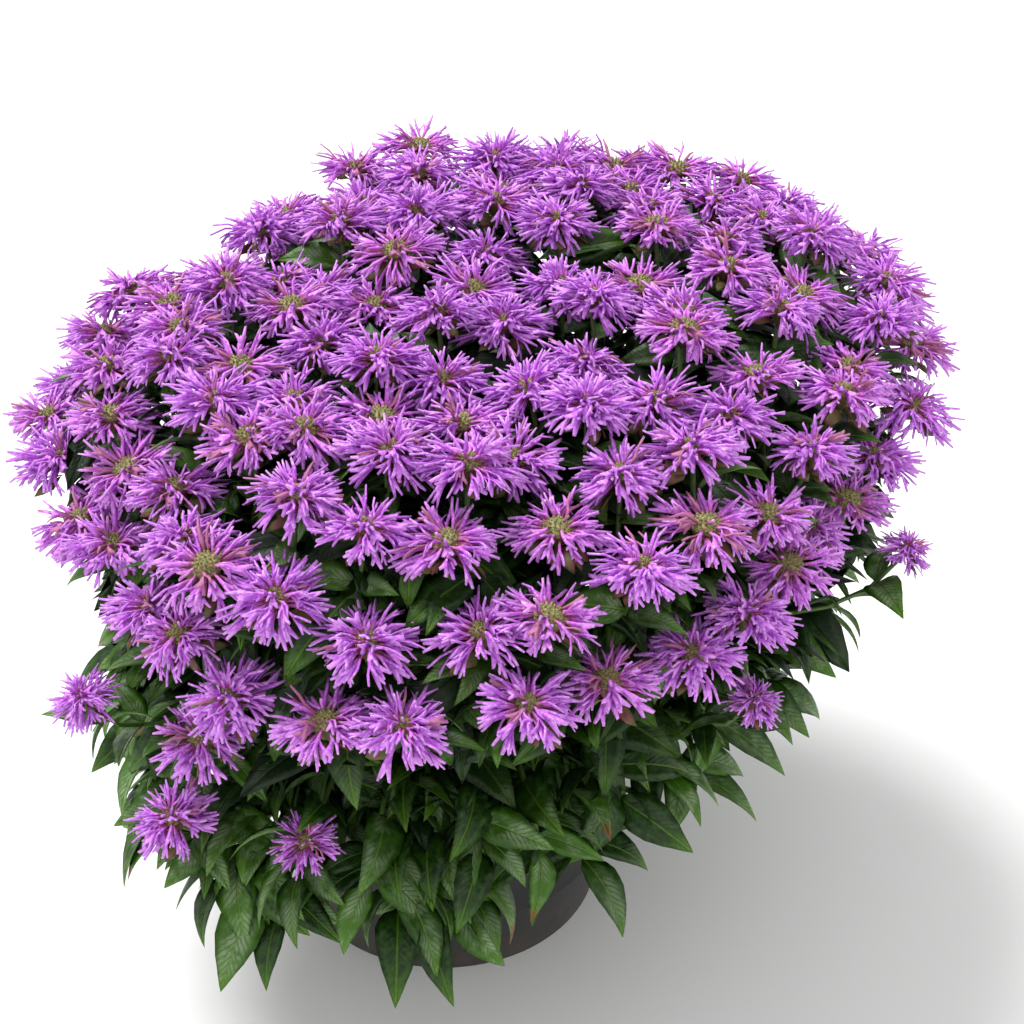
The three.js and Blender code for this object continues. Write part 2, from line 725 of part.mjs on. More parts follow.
function potSolid() {
  const under = POT_HEIGHT - POT_RIM_HEIGHT;
  const profile = [
    [0, 0],
    [POT_BASE_RADIUS - POT_FOOT_EDGE, 0],
    [potOuterRadius(POT_FOOT_EDGE), POT_FOOT_EDGE],
    [potOuterRadius(under), under],
    [POT_RIM_RADIUS - POT_RIM_EDGE, under + 1],
    [POT_RIM_RADIUS, under + POT_SHOULDER],
    [POT_RIM_RADIUS, POT_HEIGHT - POT_RIM_EDGE],
    [POT_RIM_RADIUS - POT_RIM_EDGE, POT_HEIGHT],
    [POT_TOP_RADIUS - 1, POT_HEIGHT],
    [potOuterRadius(POT_HEIGHT) - POT_WALL, POT_HEIGHT - 2 * POT_RIM_EDGE],
    [potOuterRadius(POT_FLOOR) - POT_WALL, POT_FLOOR],
    [0, POT_FLOOR],
  ].map(([radius, height]) => new THREE.Vector2(radius, height));
  const body = solid(new THREE.LatheGeometry(profile, POT_SIDES).rotateX(Math.PI / 2));
  const drains = [];
  for (let k = 0; k < DRAIN_COUNT; k++) {
    const drain = new THREE.CylinderGeometry(DRAIN_RADIUS, DRAIN_RADIUS, 3 * POT_FLOOR, DRAIN_SIDES);
    const centre = polar(DRAIN_CIRCLE, (k / DRAIN_COUNT) * TURN, POT_FLOOR / 2);
    drains.push(solid(drain.rotateX(Math.PI / 2).translate(centre.x, centre.y, centre.z)));
  }
  return body.subtract(joined(drains));
}

// Potting mix: fills the pot, crowned and lumpy on top, with a plain hole for each stem
function soilSolid(cells) {
  const inside = (height) => potOuterRadius(height) - POT_WALL - FIT_GAP;
  const profile = [
    [0, POT_FLOOR + FIT_GAP],
    [inside(POT_FLOOR), POT_FLOOR + FIT_GAP],
    [inside(SOIL_TOP - SOIL_SHOULDER), SOIL_TOP - SOIL_SHOULDER],
    [inside(SOIL_TOP) - 2 * SOIL_SHOULDER, SOIL_TOP - SOIL_EDGE_DROP],
    [SOIL_MIDDLE * inside(SOIL_TOP), SOIL_TOP + 0.5 * SOIL_CROWN],
    [0, SOIL_TOP + SOIL_CROWN],
  ].map(([radius, height]) => new THREE.Vector2(radius, height));
  const body = new THREE.LatheGeometry(profile, POT_SIDES).rotateX(Math.PI / 2);
  const corners = body.attributes.position;
  for (let i = 0; i < corners.count; i++) {
    if (corners.getZ(i) > SOIL_TOP - 2 * SOIL_EDGE_DROP) {
      const lump = Math.sin(corners.getX(i) / SOIL_LUMP_SIZE) * Math.cos(corners.getY(i) / SOIL_LUMP_SIZE);
      corners.setZ(i, corners.getZ(i) + SOIL_LUMPS * lump);
    }
  }
  const holes = cells.map((cell) => {
    const foot = stemPoint(cell, SOIL_TOP);
    const hole = new THREE.CylinderGeometry(HOLE_RADIUS, HOLE_RADIUS, 2 * STEM_DEPTH, HOLE_SIDES);
    return solid(hole.rotateX(Math.PI / 2).translate(foot.x, foot.y, SOIL_TOP));
  });
  return solid(body).subtract(joined(holes));
}

const cells = makeCells();
const heads = [...canopyHeads(), ...lowHeads()];
for (const head of heads) {
  head.cell = cellOf(head.centre, cells);
  head.group = head.cell;
}

const plant = new THREE.Group();
plant.add(meshOf('pot', potSolid(), potPlastic));
plant.add(meshOf('soil', soilSolid(cells), pottingMix));

const number = (index) => String(index + 1).padStart(2, '0');
cells.forEach((cell, index) => {
  const own = heads.filter((head) => head.cell === cell);
  plant.add(meshOf(`leafy_stem_${number(index)}`, leafyStem(cell, index, own, heads), foliage));
});

// A head that its own group can't reach joins the group of the nearest head that it can
const canopy = heads.filter((head) => !head.low);
for (const cell of cells) {
  const { left } = joinGroup(canopy.filter((head) => head.group === cell), heads);
  for (const head of left) {
    const others = canopy.filter((other) => other.group !== head.group);
    others.sort((a, b) => a.centre.distanceTo(head.centre) - b.centre.distanceTo(head.centre));
    const host = others.find((other) => {
      const group = canopy.filter((member) => member.group === other.group);
      return openWay(head, other, [...group, head], heads);
    });
    head.group = host.group;
  }
}
cells.forEach((cell, index) => {
  const group = canopy.filter((head) => head.group === cell);
  const { done, links } = joinGroup(group, heads);
  const pieces = done.map((head) => headSolid(head, heads, links.get(head)));
  plant.add(meshOf(`blooms_${number(index)}`, joined(pieces), petals));
});
heads.filter((head) => head.low).forEach((head, index) => {
  plant.add(meshOf(`low_bloom_${number(index)}`, headSolid(head, heads), petals));
});

export default plant;
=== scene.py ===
"""A dwarf bee balm in full bloom in a plain nursery pot, dressed round its fixed frame. Metres, +Z up."""
import math

import bmesh
import bpy
import numpy as np
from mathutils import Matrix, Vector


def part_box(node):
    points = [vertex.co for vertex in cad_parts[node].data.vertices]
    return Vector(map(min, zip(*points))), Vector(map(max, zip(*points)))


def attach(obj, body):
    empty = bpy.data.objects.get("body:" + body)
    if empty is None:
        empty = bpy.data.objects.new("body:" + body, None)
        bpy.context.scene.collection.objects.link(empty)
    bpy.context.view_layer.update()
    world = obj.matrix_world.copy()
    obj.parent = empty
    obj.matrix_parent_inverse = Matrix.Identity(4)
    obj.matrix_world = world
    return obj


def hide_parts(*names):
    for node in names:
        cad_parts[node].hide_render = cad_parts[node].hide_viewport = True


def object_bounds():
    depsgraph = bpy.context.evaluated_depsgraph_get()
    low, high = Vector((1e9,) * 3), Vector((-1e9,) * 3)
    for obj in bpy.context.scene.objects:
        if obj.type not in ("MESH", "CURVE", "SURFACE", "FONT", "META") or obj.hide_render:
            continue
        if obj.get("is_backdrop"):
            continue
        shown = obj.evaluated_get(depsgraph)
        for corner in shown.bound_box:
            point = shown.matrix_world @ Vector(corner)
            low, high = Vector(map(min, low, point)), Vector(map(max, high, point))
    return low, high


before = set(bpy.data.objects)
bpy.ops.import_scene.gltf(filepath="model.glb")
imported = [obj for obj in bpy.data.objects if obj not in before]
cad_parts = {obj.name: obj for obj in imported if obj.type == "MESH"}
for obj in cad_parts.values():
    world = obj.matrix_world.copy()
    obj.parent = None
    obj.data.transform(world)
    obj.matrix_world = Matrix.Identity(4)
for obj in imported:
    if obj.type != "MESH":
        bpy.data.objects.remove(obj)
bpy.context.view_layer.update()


# Pot
# A round nursery pot, moulded in one piece from black polypropylene. Its thin wall tapers to the base,
# with a rolled rim on a shoulder, two stiffening beads and five drain holes in the flat floor.
POT_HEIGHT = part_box("pot")[1].z
POT_RIM_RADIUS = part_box("pot")[1].y
POT_RIM_HEIGHT = 0.024
POT_BASE_RADIUS = 0.115
POT_TOP_RADIUS = 0.143
POT_WALL = 0.003
POT_FLOOR = 0.004
POT_FACETS = 96
BEAD_HEIGHTS = (0.052, 0.108)
BEAD_HALF_WIDTH = 0.0022
BEAD_SWELL = 1.009
DRAIN_COUNT = 5
DRAIN_RADIUS = 0.007
DRAIN_CIRCLE = 0.078
DRAIN_FACETS = 32
RIM_CHAMFER = 0.0012
RIM_SHOULDER = 0.004
RIM_ROUNDING = 0.0025
RIM_LIP = 0.0005
MOUTH_DEPTH = 0.005
EDGE_ROUNDING = 0.0007
TOLERANCE = 1e-4


def pick(kind, test):
    """Selects only the vertices, edges or faces in edit mode whose middle passes a test."""
    bpy.ops.mesh.select_mode(type=kind)
    bpy.ops.mesh.select_all(action="DESELECT")
    shape = bmesh.from_edit_mesh(bpy.context.object.data)
    for part in {"VERT": shape.verts, "EDGE": shape.edges, "FACE": shape.faces}[kind]:
        if kind == "FACE":
            middle = part.calc_center_median()
        else:
            middle = part.co if kind == "VERT" else (part.verts[0].co + part.verts[1].co) / 2
        part.select_set(bool(test(middle)))
    bmesh.update_edit_mesh(bpy.context.object.data)


def pick_all():
    bpy.ops.mesh.select_all(action="SELECT")


def push(x=0.0, y=0.0, z=0.0):
    """Extrudes what is selected."""
    bpy.ops.mesh.extrude_region_move(TRANSFORM_OT_translate={"value": (x, y, z)})


def move(x=0.0, y=0.0, z=0.0):
    bpy.ops.transform.translate(value=(x, y, z))


def stretch(x=1.0, y=1.0, z=1.0, centre=(0, 0, 0)):
    bpy.ops.transform.resize(value=(x, y, z), center_override=centre)


def start_piece(name):
    """Names the primitive that was just added, settles it at the origin and opens it for editing."""
    piece = bpy.context.object
    piece.name = name
    bpy.ops.object.transform_apply(location=True, rotation=True, scale=True)
    bpy.ops.object.mode_set(mode="EDIT")
    return piece


def close_piece():
    bpy.ops.object.mode_set(mode="OBJECT")
    bpy.context.object.select_set(False)


def apply_modifier(piece, kind, **settings):
    bpy.context.view_layer.objects.active = piece
    modifier = piece.modifiers.new(kind.title(), kind)
    for setting, value in settings.items():
        setattr(modifier, setting, value)
    bpy.ops.object.modifier_apply(modifier=modifier.name)


def smooth(piece, degrees):
    """Shades a piece smooth, except over edges sharper than an angle."""
    piece.select_set(True)
    bpy.ops.object.shade_smooth_by_angle(angle=math.radians(degrees))
    piece.select_set(False)


def wall_radius(height):
    return POT_BASE_RADIUS + (POT_TOP_RADIUS - POT_BASE_RADIUS) * height / POT_HEIGHT


bpy.ops.object.select_all(action="DESELECT")
shoulder = POT_HEIGHT - POT_RIM_HEIGHT
bpy.ops.mesh.primitive_cylinder_add(
    vertices=POT_FACETS, radius=POT_BASE_RADIUS, depth=shoulder, location=(0, 0, shoulder / 2))
pot = start_piece("nursery_pot")
pick("FACE", lambda middle: middle.z > shoulder - TOLERANCE)
rim_profile = [
    (POT_RIM_RADIUS - RIM_CHAMFER, shoulder + RIM_CHAMFER),
    (POT_RIM_RADIUS, shoulder + RIM_SHOULDER),
    (POT_RIM_RADIUS, POT_HEIGHT - RIM_ROUNDING),
    (POT_RIM_RADIUS - RIM_ROUNDING, POT_HEIGHT),
    (POT_TOP_RADIUS - RIM_LIP, POT_HEIGHT),
    (wall_radius(POT_HEIGHT - MOUTH_DEPTH) - POT_WALL, POT_HEIGHT - MOUTH_DEPTH),
    (wall_radius(POT_FLOOR) - POT_WALL, POT_FLOOR),
]
radius_now, height_now = wall_radius(shoulder), shoulder
stretch(radius_now / POT_BASE_RADIUS, radius_now / POT_BASE_RADIUS)
for radius, height in rim_profile:
    push(z=height - height_now)
    stretch(radius / radius_now, radius / radius_now)
    radius_now, height_now = radius, height
for height in BEAD_HEIGHTS:
    for cut in (height - BEAD_HALF_WIDTH, height, height + BEAD_HALF_WIDTH):
        pick_all()
        bpy.ops.mesh.bisect(plane_co=(0, 0, cut), plane_no=(0, 0, 1))
    outer_wall = wall_radius(height) - POT_WALL / 3
    pick("VERT", lambda spot: abs(spot.z - height) < TOLERANCE and spot.xy.length > outer_wall)
    stretch(BEAD_SWELL, BEAD_SWELL)
close_piece()
for index in range(DRAIN_COUNT):
    angle = math.tau * index / DRAIN_COUNT
    bpy.ops.mesh.primitive_cylinder_add(
        vertices=DRAIN_FACETS, radius=DRAIN_RADIUS, depth=4 * POT_FLOOR,
        location=(DRAIN_CIRCLE * math.cos(angle), DRAIN_CIRCLE * math.sin(angle), 0))
    drill = bpy.context.object
    apply_modifier(pot, "BOOLEAN", object=drill, operation="DIFFERENCE", solver="EXACT")
    bpy.data.objects.remove(drill)
apply_modifier(
    pot, "BEVEL", width=EDGE_ROUNDING, segments=2, limit_method="ANGLE", angle_limit=math.radians(38))
smooth(pot, 32)


def srgb(red, green, blue):
    """A colour from its 0 to 255 screen values."""
    shares = [value / 255 for value in (red, green, blue)]
    return tuple(s / 12.92 if s < 0.04045 else ((s + 0.055) / 1.055) ** 2.4 for s in shares) + (1,)


class Term:
    """An output socket that sums can be written on, each of which adds its Math node."""

    def __init__(self, finish, socket):
        self.finish = finish
        self.socket = socket

    def sum(self, operation, first, second=0.0):
        return self.finish.out("ShaderNodeMath", {"operation": operation}, {0: first, 1: second})

    def __add__(self, other):
        return self.sum("ADD", self, other)

    __radd__ = __add__

    def __sub__(self, other):
        return self.sum("SUBTRACT", self, other)

    def __rsub__(self, other):
        return self.sum("SUBTRACT", other, self)

    def __mul__(self, other):
        return self.sum("MULTIPLY", self, other)

    __rmul__ = __mul__

    def __abs__(self):
        return self.sum("ABSOLUTE", self)

    def fraction(self):
        return self.sum("FRACT", self)

    def ramp(self, low, high):
        """0 below the low value, 1 above the high one, and smooth between them."""
        return self.finish.out(
            "ShaderNodeMapRange", {"interpolation_type": "SMOOTHSTEP"}, {0: self, 1: low, 2: high})


class Finish:
    """A material, built node by node."""

    def __init__(self, name):
        self.material = bpy.data.materials.new(name)
        self.material.use_nodes = True
        self.tree = self.material.node_tree
        self.tree.nodes.clear()

    def node(self, kind, settings=None, values=None):
        made = self.tree.nodes.new(kind)
        for setting, value in (settings or {}).items():
            setattr(made, setting, value)
        for name, value in (values or {}).items():
            if isinstance(value, Term):
                self.tree.links.new(value.socket, made.inputs[name])
            else:
                made.inputs[name].default_value = value
        return made

    def out(self, kind, settings=None, values=None, output=0):
        return Term(self, self.node(kind, settings, values).outputs[output])

    def spot(self):
        """Place on the object, in metres."""
        return self.out("ShaderNodeTexCoord", output="Object")

    def noise(self, scale, detail):
        values = {"Vector": self.spot(), "Scale": scale, "Detail": detail}
        return self.out("ShaderNodeTexNoise", None, values, "Fac")

    def mix(self, share, first, second):
        """Mixes two colours."""
        return self.out("ShaderNodeMix", {"data_type": "RGBA"}, {0: share, 6: first, 7: second}, 2)

    def layers(self, colour, *layers):
        """Lays colours over a first one, each by its own share; all as 0 to 255 screen values."""
        colour = srgb(*colour)
        for share, over in layers:
            colour = self.mix(share, colour, srgb(*over))
        return colour

    def grown(self):
        """What the joined copies store: places along and across the copy, and its own tint."""
        stored = self.out("ShaderNodeAttribute", {"attribute_name": "grow"}, None, "Vector")
        parts = self.node("ShaderNodeSeparateXYZ", None, {0: stored})
        return [Term(self, part) for part in parts.outputs]

    def relief(self, height, depth):
        return self.out("ShaderNodeBump", None, {"Height": height, "Distance": depth}, "Normal")

    def close(self, **values):
        """Ends the material in a Principled surface; a name's underscore stands for a space."""
        named = {name.replace("_", " "): value for name, value in values.items()}
        surface = self.out("ShaderNodeBsdfPrincipled", None, named)
        self.node("ShaderNodeOutputMaterial", None, {"Surface": surface})
        return self.material


plastic = Finish("black_polypropylene")
grain = plastic.noise(900, 4)
scuffs = plastic.noise(38, 6).ramp(0.52, 0.72)
low_down = plastic.out("ShaderNodeSeparateXYZ", None, {0: plastic.spot()}, "Z").ramp(0.06, 0.0)
dust = low_down * plastic.noise(60, 5)
pot.data.materials.append(plastic.close(
    Base_Color=plastic.layers(
        (30, 30, 32),
        (scuffs * 0.35, (52, 51, 52)),
        (dust * 0.5, (104, 92, 78)),
    ),
    Roughness=0.4 + 0.16 * grain + 0.12 * scuffs,
    Normal=plastic.relief(grain, 0.0002),
))
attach(pot, "root")
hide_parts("pot")


# Potting mix
# Damp bark and peat that fills the pot to just under the rim, crowned in the middle and crumbly, with
# bark chips and a few white perlite grains pressed into its top round the stems.
SOIL_TOP = 0.168
SOIL_CROWN = 0.007
SOIL_RINGS = 22
SOIL_FACETS = 80
SOIL_ROUGHNESS = 0.0016
SOIL_LEAST_RING = 0.004
SOIL_GAP = 0.0003
CHIP_COUNT = 520
CHIP_SIZE = 0.0035
CHIP_SHAPE = (1.0, 0.62, 0.4)
CHIP_ROUGHNESS = 0.0009
CHIP_MARGIN = 0.006
CHIP_SEAT = 0.0005
PERLITE_SHARE = 0.16


def settle(name, materials, points, triangles, own, grow=None, tone=None):
    """Makes an object from joined copies, each triangle with its own material."""
    mesh = bpy.data.meshes.new(name)
    mesh.vertices.add(len(points))
    mesh.vertices.foreach_set("co", points.astype(np.float32).ravel())
    mesh.loops.add(3 * len(triangles))
    mesh.loops.foreach_set("vertex_index", triangles.astype(np.int32).ravel())
    mesh.polygons.add(len(triangles))
    mesh.polygons.foreach_set("loop_start", np.arange(0, 3 * len(triangles), 3, dtype=np.int32))
    for material in materials:
        mesh.materials.append(material)
    mesh.polygons.foreach_set("material_index", own.astype(np.int32))
    if grow is not None:
        mesh.attributes.new("grow", "FLOAT_VECTOR", "POINT").data.foreach_set(
            "vector", grow.astype(np.float32).ravel())
    if tone is not None:
        mesh.attributes.new("tone", "FLOAT", "POINT").data.foreach_set("value", tone.astype(np.float32))
    mesh.update(calc_edges=True)
    mesh.shade_smooth()
    piece = bpy.data.objects.new(name, mesh)
    bpy.context.scene.collection.objects.link(piece)
    return piece


def taken(piece):
    """A master's points and triangles as arrays; the master itself is removed."""
    mesh = piece.data
    points = np.empty(3 * len(mesh.vertices))
    mesh.vertices.foreach_get("co", points)
    mesh.calc_loop_triangles()
    triangles = np.empty(3 * len(mesh.loop_triangles), dtype=np.int32)
    mesh.loop_triangles.foreach_get("vertices", triangles)
    bpy.data.objects.remove(piece)
    return points.reshape(-1, 3), triangles.reshape(-1, 3)


def copies(master_faces, count, points_each):
    """The triangles of a number of copies of a master, one after another."""
    return (master_faces[None] + points_each * np.arange(count)[:, None, None]).reshape(-1, 3)


inside = wall_radius(SOIL_TOP) - POT_WALL - SOIL_GAP
bpy.ops.mesh.primitive_cylinder_add(
    vertices=SOIL_FACETS, radius=inside, depth=SOIL_TOP - POT_FLOOR - SOIL_GAP,
    location=(0, 0, (SOIL_TOP + POT_FLOOR + SOIL_GAP) / 2))
soil = start_piece("potting_mix")
pick("FACE", lambda middle: middle.z < 2 * POT_FLOOR)
foot_share = (wall_radius(POT_FLOOR) - POT_WALL - SOIL_GAP) / inside
stretch(foot_share, foot_share)
pick("FACE", lambda middle: middle.z > SOIL_TOP - TOLERANCE)
for ring in range(SOIL_RINGS):
    before, after = (math.cos(0.5 * math.pi * k / SOIL_RINGS) for k in (ring, ring + 1))
    push(z=SOIL_CROWN * (before ** 2 - after ** 2))
    wide, narrow = (max(SOIL_LEAST_RING, 1 - k / SOIL_RINGS) for k in (ring, ring + 1))
    stretch(narrow / wide, narrow / wide)
pick("VERT", lambda spot: spot.z > SOIL_TOP - TOLERANCE and spot.xy.length < inside - POT_WALL)
bpy.ops.transform.vertex_random(offset=SOIL_ROUGHNESS, seed=3)
close_piece()
smooth(soil, 50)

peat = Finish("damp_potting_mix")
clods = peat.noise(420, 6)
fibres = peat.noise(90, 4)
soil.data.materials.append(peat.close(
    Base_Color=peat.layers(
        (26, 17, 12),
        (clods.ramp(0.35, 0.68), (70, 48, 32)),
        (fibres.ramp(0.6, 0.75) * 0.5, (98, 74, 50)),
    ),
    Roughness=0.95 - 0.1 * fibres,
    Normal=peat.relief(clods + fibres, 0.002),
))

bpy.ops.mesh.primitive_ico_sphere_add(subdivisions=1, radius=CHIP_SIZE)
chip = start_piece("chip")
pick_all()
stretch(*CHIP_SHAPE)
bpy.ops.transform.vertex_random(offset=CHIP_ROUGHNESS, seed=5)
close_piece()
chip_points, chip_faces = taken(chip)
chance = np.random.default_rng(11)
chip_spots = []
for index in range(CHIP_COUNT):
    out = (inside - CHIP_MARGIN) * math.sqrt(chance.random())
    around = math.tau * chance.random()
    height = SOIL_TOP + SOIL_CROWN * (1 - (out / inside) ** 2) + CHIP_SEAT
    chip_spots.append((out * math.cos(around), out * math.sin(around), height))
chip_spots = np.array(chip_spots)
turns = math.tau * chance.random(CHIP_COUNT)
sizes = 0.4 + 0.9 * chance.random(CHIP_COUNT)
cosines, sines = np.cos(turns)[:, None], np.sin(turns)[:, None]
x, y, z = chip_points.T
chips = np.stack([
    sizes[:, None] * (cosines * x - sines * y),
    sizes[:, None] * (sines * x + cosines * y),
    sizes[:, None] * np.broadcast_to(z, (CHIP_COUNT, len(z))),
], axis=2) + chip_spots[:, None]
bark = Finish("bark_chips")
bark_tone = bark.noise(260, 5)
bark_material = bark.close(
    Base_Color=bark.mix(bark_tone, srgb(36, 23, 15), srgb(108, 76, 48)),
    Roughness=0.85,
    Normal=bark.relief(bark_tone, 0.001),
)
perlite = Finish("perlite_grains")
perlite_tone = perlite.noise(700, 4)
perlite_material = perlite.close(
    Base_Color=perlite.mix(perlite_tone, srgb(150, 144, 132), srgb(232, 229, 220)),
    Roughness=0.9,
    Normal=perlite.relief(perlite_tone, 0.0006),
)
crumbs = settle(
    "bark_and_perlite",
    [bark_material, perlite_material],
    chips.reshape(-1, 3),
    copies(chip_faces, CHIP_COUNT, len(chip_points)),
    np.repeat(chance.random(CHIP_COUNT) < PERLITE_SHARE, len(chip_faces)),
)
for piece in (soil, crumbs):
    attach(piece, "root")
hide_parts("soil")
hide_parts("soil")


# How the plant grows
# Square stems fan out from the crown in three rings, each with its own share of the round, flat-topped
# canopy. The flower heads are spread evenly over that canopy, a head's width apart.
REACH = np.array([
    312, 372, 408, 402, 376, 344, 262, 216, 268,
    256, 234, 230, 254, 272, 266, 260, 256, 272,
]) / 1000
CANOPY_BASE = 0.298
CANOPY_RISE = 0.16
CANOPY_TILT = 0.13
CANOPY_POWER = 3.6
CANOPY_EDGE = math.radians(74)
FLARE_HEIGHTS = (0.18, 0.225, 0.27, 0.315, 0.36)
FLARE_SHARES = (0.32, 0.44, 0.68, 0.9, 1.0)
HEAD_COUNT = 132
HEAD_SPACING = 0.064
HEAD_RADIUS = 0.0295
HEAD_SWELL = 0.009
HEAD_SPREAD = 0.004
HEAD_LIFT = 0.026
HEAD_NUDGES = 60
HEAD_NUDGE = 0.3
HEAD_OUTWARD = 0.14
HEAD_UPRIGHT = 0.86
HEAD_TIP = 0.44
HEAD_DRIFT = 0.018
LOW_HEAD_OUTWARD = 0.35
LOW_HEAD_UPRIGHT = 0.9
LOW_HEADS = [
    (-124, 0.238, 0.282, 0.030),
    (-125, 0.264, 0.236, 0.026),
    (-141, 0.268, 0.288, 0.021),
    (-107, 0.243, 0.232, 0.021),
    (-11, 0.312, 0.325, 0.018),
    (-42, 0.262, 0.292, 0.018),
    (38, 0.318, 0.285, 0.024),
    (83, 0.345, 0.290, 0.025),
    (118, 0.268, 0.268, 0.024),
    (172, 0.262, 0.276, 0.025),
]
RINGS = [(3, 0.15, 0.28), (7, 0.44, 0.6), (14, 0.7, math.inf)]
CORE_FOOT = 0.238
CORE_DEPTH = 0.052
CORE_LIMIT = 0.8
CORE_INSET = 0.07
CORE_LEAST = 0.008


def draw(index, channel):
    """A repeatable draw between 0 and 1."""
    value = np.sin(12.9898 * index + 78.233 * channel) * 43758.5453
    return value - np.floor(value)


def spiral(order):
    """Azimuths of an even spiral, one golden angle after another."""
    return order * math.pi * (3 - math.sqrt(5))


def reach(azimuth):
    """How far the canopy reaches at an azimuth: a smooth closed curve through REACH."""
    place = np.mod(np.asarray(azimuth) / math.tau, 1) * len(REACH)
    first = np.floor(place).astype(int) % len(REACH)
    t = place - np.floor(place)
    a, b, c, d = (REACH[(first + k) % len(REACH)] for k in (-1, 0, 1, 2))
    return b + 0.5 * t * (c - a + t * (2 * a - 5 * b + 4 * c - d + t * (3 * (b - c) + d - a)))


def flare(height):
    """Share of its full spread that the plant has at a height."""
    return np.interp(height, FLARE_HEIGHTS, FLARE_SHARES)


def polar(radius, azimuth, height):
    radius, azimuth, height = np.broadcast_arrays(radius, azimuth, height)
    return np.stack([radius * np.cos(azimuth), radius * np.sin(azimuth), height], axis=-1)


def azimuth_of(points):
    return np.arctan2(points[..., 1], points[..., 0])


def radius_of(points):
    return np.hypot(points[..., 0], points[..., 1])


def unit(vectors):
    return vectors / np.linalg.norm(vectors, axis=-1, keepdims=True)


def on_canopy(azimuth, angle):
    points = polar(
        reach(azimuth) * np.sin(angle) ** (2 / CANOPY_POWER), azimuth,
        CANOPY_RISE * np.cos(angle) ** (2 / CANOPY_POWER))
    points[..., 2] += CANOPY_BASE + CANOPY_TILT * points[..., 1]
    return points


def rise_of(points):
    return np.maximum(0, points[..., 2] - CANOPY_BASE - CANOPY_TILT * points[..., 1]) / CANOPY_RISE


def canopy_height(points):
    """Height of the canopy over a point, or its base beyond the edge."""
    rest = np.maximum(0, 1 - (radius_of(points) / reach(azimuth_of(points))) ** CANOPY_POWER)
    return CANOPY_BASE + CANOPY_TILT * points[..., 1] + CANOPY_RISE * rest ** (1 / CANOPY_POWER)


def spread_heads():
    """Spreads the heads over the canopy: a spiral, then rounds in which near ones push apart."""
    order = np.arange(HEAD_COUNT)
    places = on_canopy(spiral(order), CANOPY_EDGE * np.sqrt((order + 0.5) / HEAD_COUNT))
    for _ in range(HEAD_NUDGES):
        apart = places[:, None] - places[None]
        gaps = np.linalg.norm(apart, axis=2)
        near = (gaps > 0) & (gaps < HEAD_SPACING)
        gaps = np.where(near, gaps, 1)
        shares = np.where(near, HEAD_NUDGE * (HEAD_SPACING - gaps) / gaps, 0)
        moved = places + (apart * shares[..., None]).sum(axis=1)
        out = radius_of(moved) / reach(azimuth_of(moved))
        angles = np.arctan2(out ** (CANOPY_POWER / 2), rise_of(moved) ** (CANOPY_POWER / 2))
        places = on_canopy(azimuth_of(moved), np.minimum(angles, CANOPY_EDGE))
    return places


def canopy_heads():
    """Centre, axis and radius of each head of the canopy."""
    order = np.arange(HEAD_COUNT)
    places = spread_heads()
    edges = reach(azimuth_of(places))
    out = (radius_of(places) / edges) ** (CANOPY_POWER - 1) / edges
    up = rise_of(places) ** (CANOPY_POWER - 1) / CANOPY_RISE
    axes = HEAD_OUTWARD * unit(polar(out, azimuth_of(places), up)) + (0, 0, HEAD_UPRIGHT)
    axes[:, 0] += HEAD_TIP * (draw(order, 1) - 0.5)
    axes[:, 1] += HEAD_TIP * (draw(order, 2) - 0.5)
    axes = unit(axes)
    centres = places + axes * (HEAD_LIFT * (draw(order, 3) - 0.5))[:, None]
    centres[:, 0] += HEAD_DRIFT * (draw(order, 6) - 0.5)
    centres[:, 1] += HEAD_DRIFT * (draw(order, 7) - 0.5)
    return centres, axes, HEAD_RADIUS + HEAD_SPREAD * draw(order, 4) + HEAD_SWELL * centres[:, 1]


low_azimuths, low_out, low_heights, low_radii = np.array(LOW_HEADS).T
low_azimuths = np.radians(low_azimuths)
centres, axes, radii = canopy_heads()
centres = np.concatenate([centres, polar(low_out, low_azimuths, low_heights)])
axes = np.concatenate([axes, unit(polar(LOW_HEAD_OUTWARD, low_azimuths, LOW_HEAD_UPRIGHT))])
radii = np.concatenate([radii, low_radii])

cells = []
inner_limit = 0.0
for count, seat, limit in RINGS:
    for k in range(count):
        width = math.tau / count
        cells.append({"heading": (k + 0.5) * width, "half": width / 2, "seat": seat,
                      "inner": inner_limit, "outer": limit})
    inner_limit = limit


def angle_from(points, heading):
    angle = azimuth_of(points) - heading
    return np.arctan2(np.sin(angle), np.cos(angle))


def cell_of(point):
    """Index of the stem whose share of the plant holds a point."""
    spread = radius_of(point) / (reach(azimuth_of(point)) * flare(point[2]))
    for index, cell in enumerate(cells):
        aside = abs(angle_from(point, cell["heading"]))
        if cell["inner"] <= spread < cell["outer"] and aside <= cell["half"] + 1e-9:
            return index
    return None


def stem_point(cell, height):
    return polar(cell["seat"] * reach(cell["heading"]) * flare(height), cell["heading"], height)


def thicket(cell, across, out, up):
    """A place in a stem's inner foliage: across from -1 to 1, out from its inner wall, and up."""
    limit = min(cell["outer"], CORE_LIMIT)
    inner = cell["inner"] + CORE_INSET if cell["inner"] else 0.0
    wide = reach(cell["heading"]) * (inner + (limit - inner) * out)
    azimuth = cell["heading"] - across * cell["half"]
    roof = polar(max(CORE_LEAST, wide), azimuth, 0.0)
    height = CORE_FOOT + (canopy_height(roof) - CORE_DEPTH - CORE_FOOT) * up
    scale = reach(azimuth) * flare(height)
    return polar(max(CORE_LEAST, inner * scale + (limit - inner) * scale * out), azimuth, height)


head_cells = [cell_of(centre) for centre in centres]


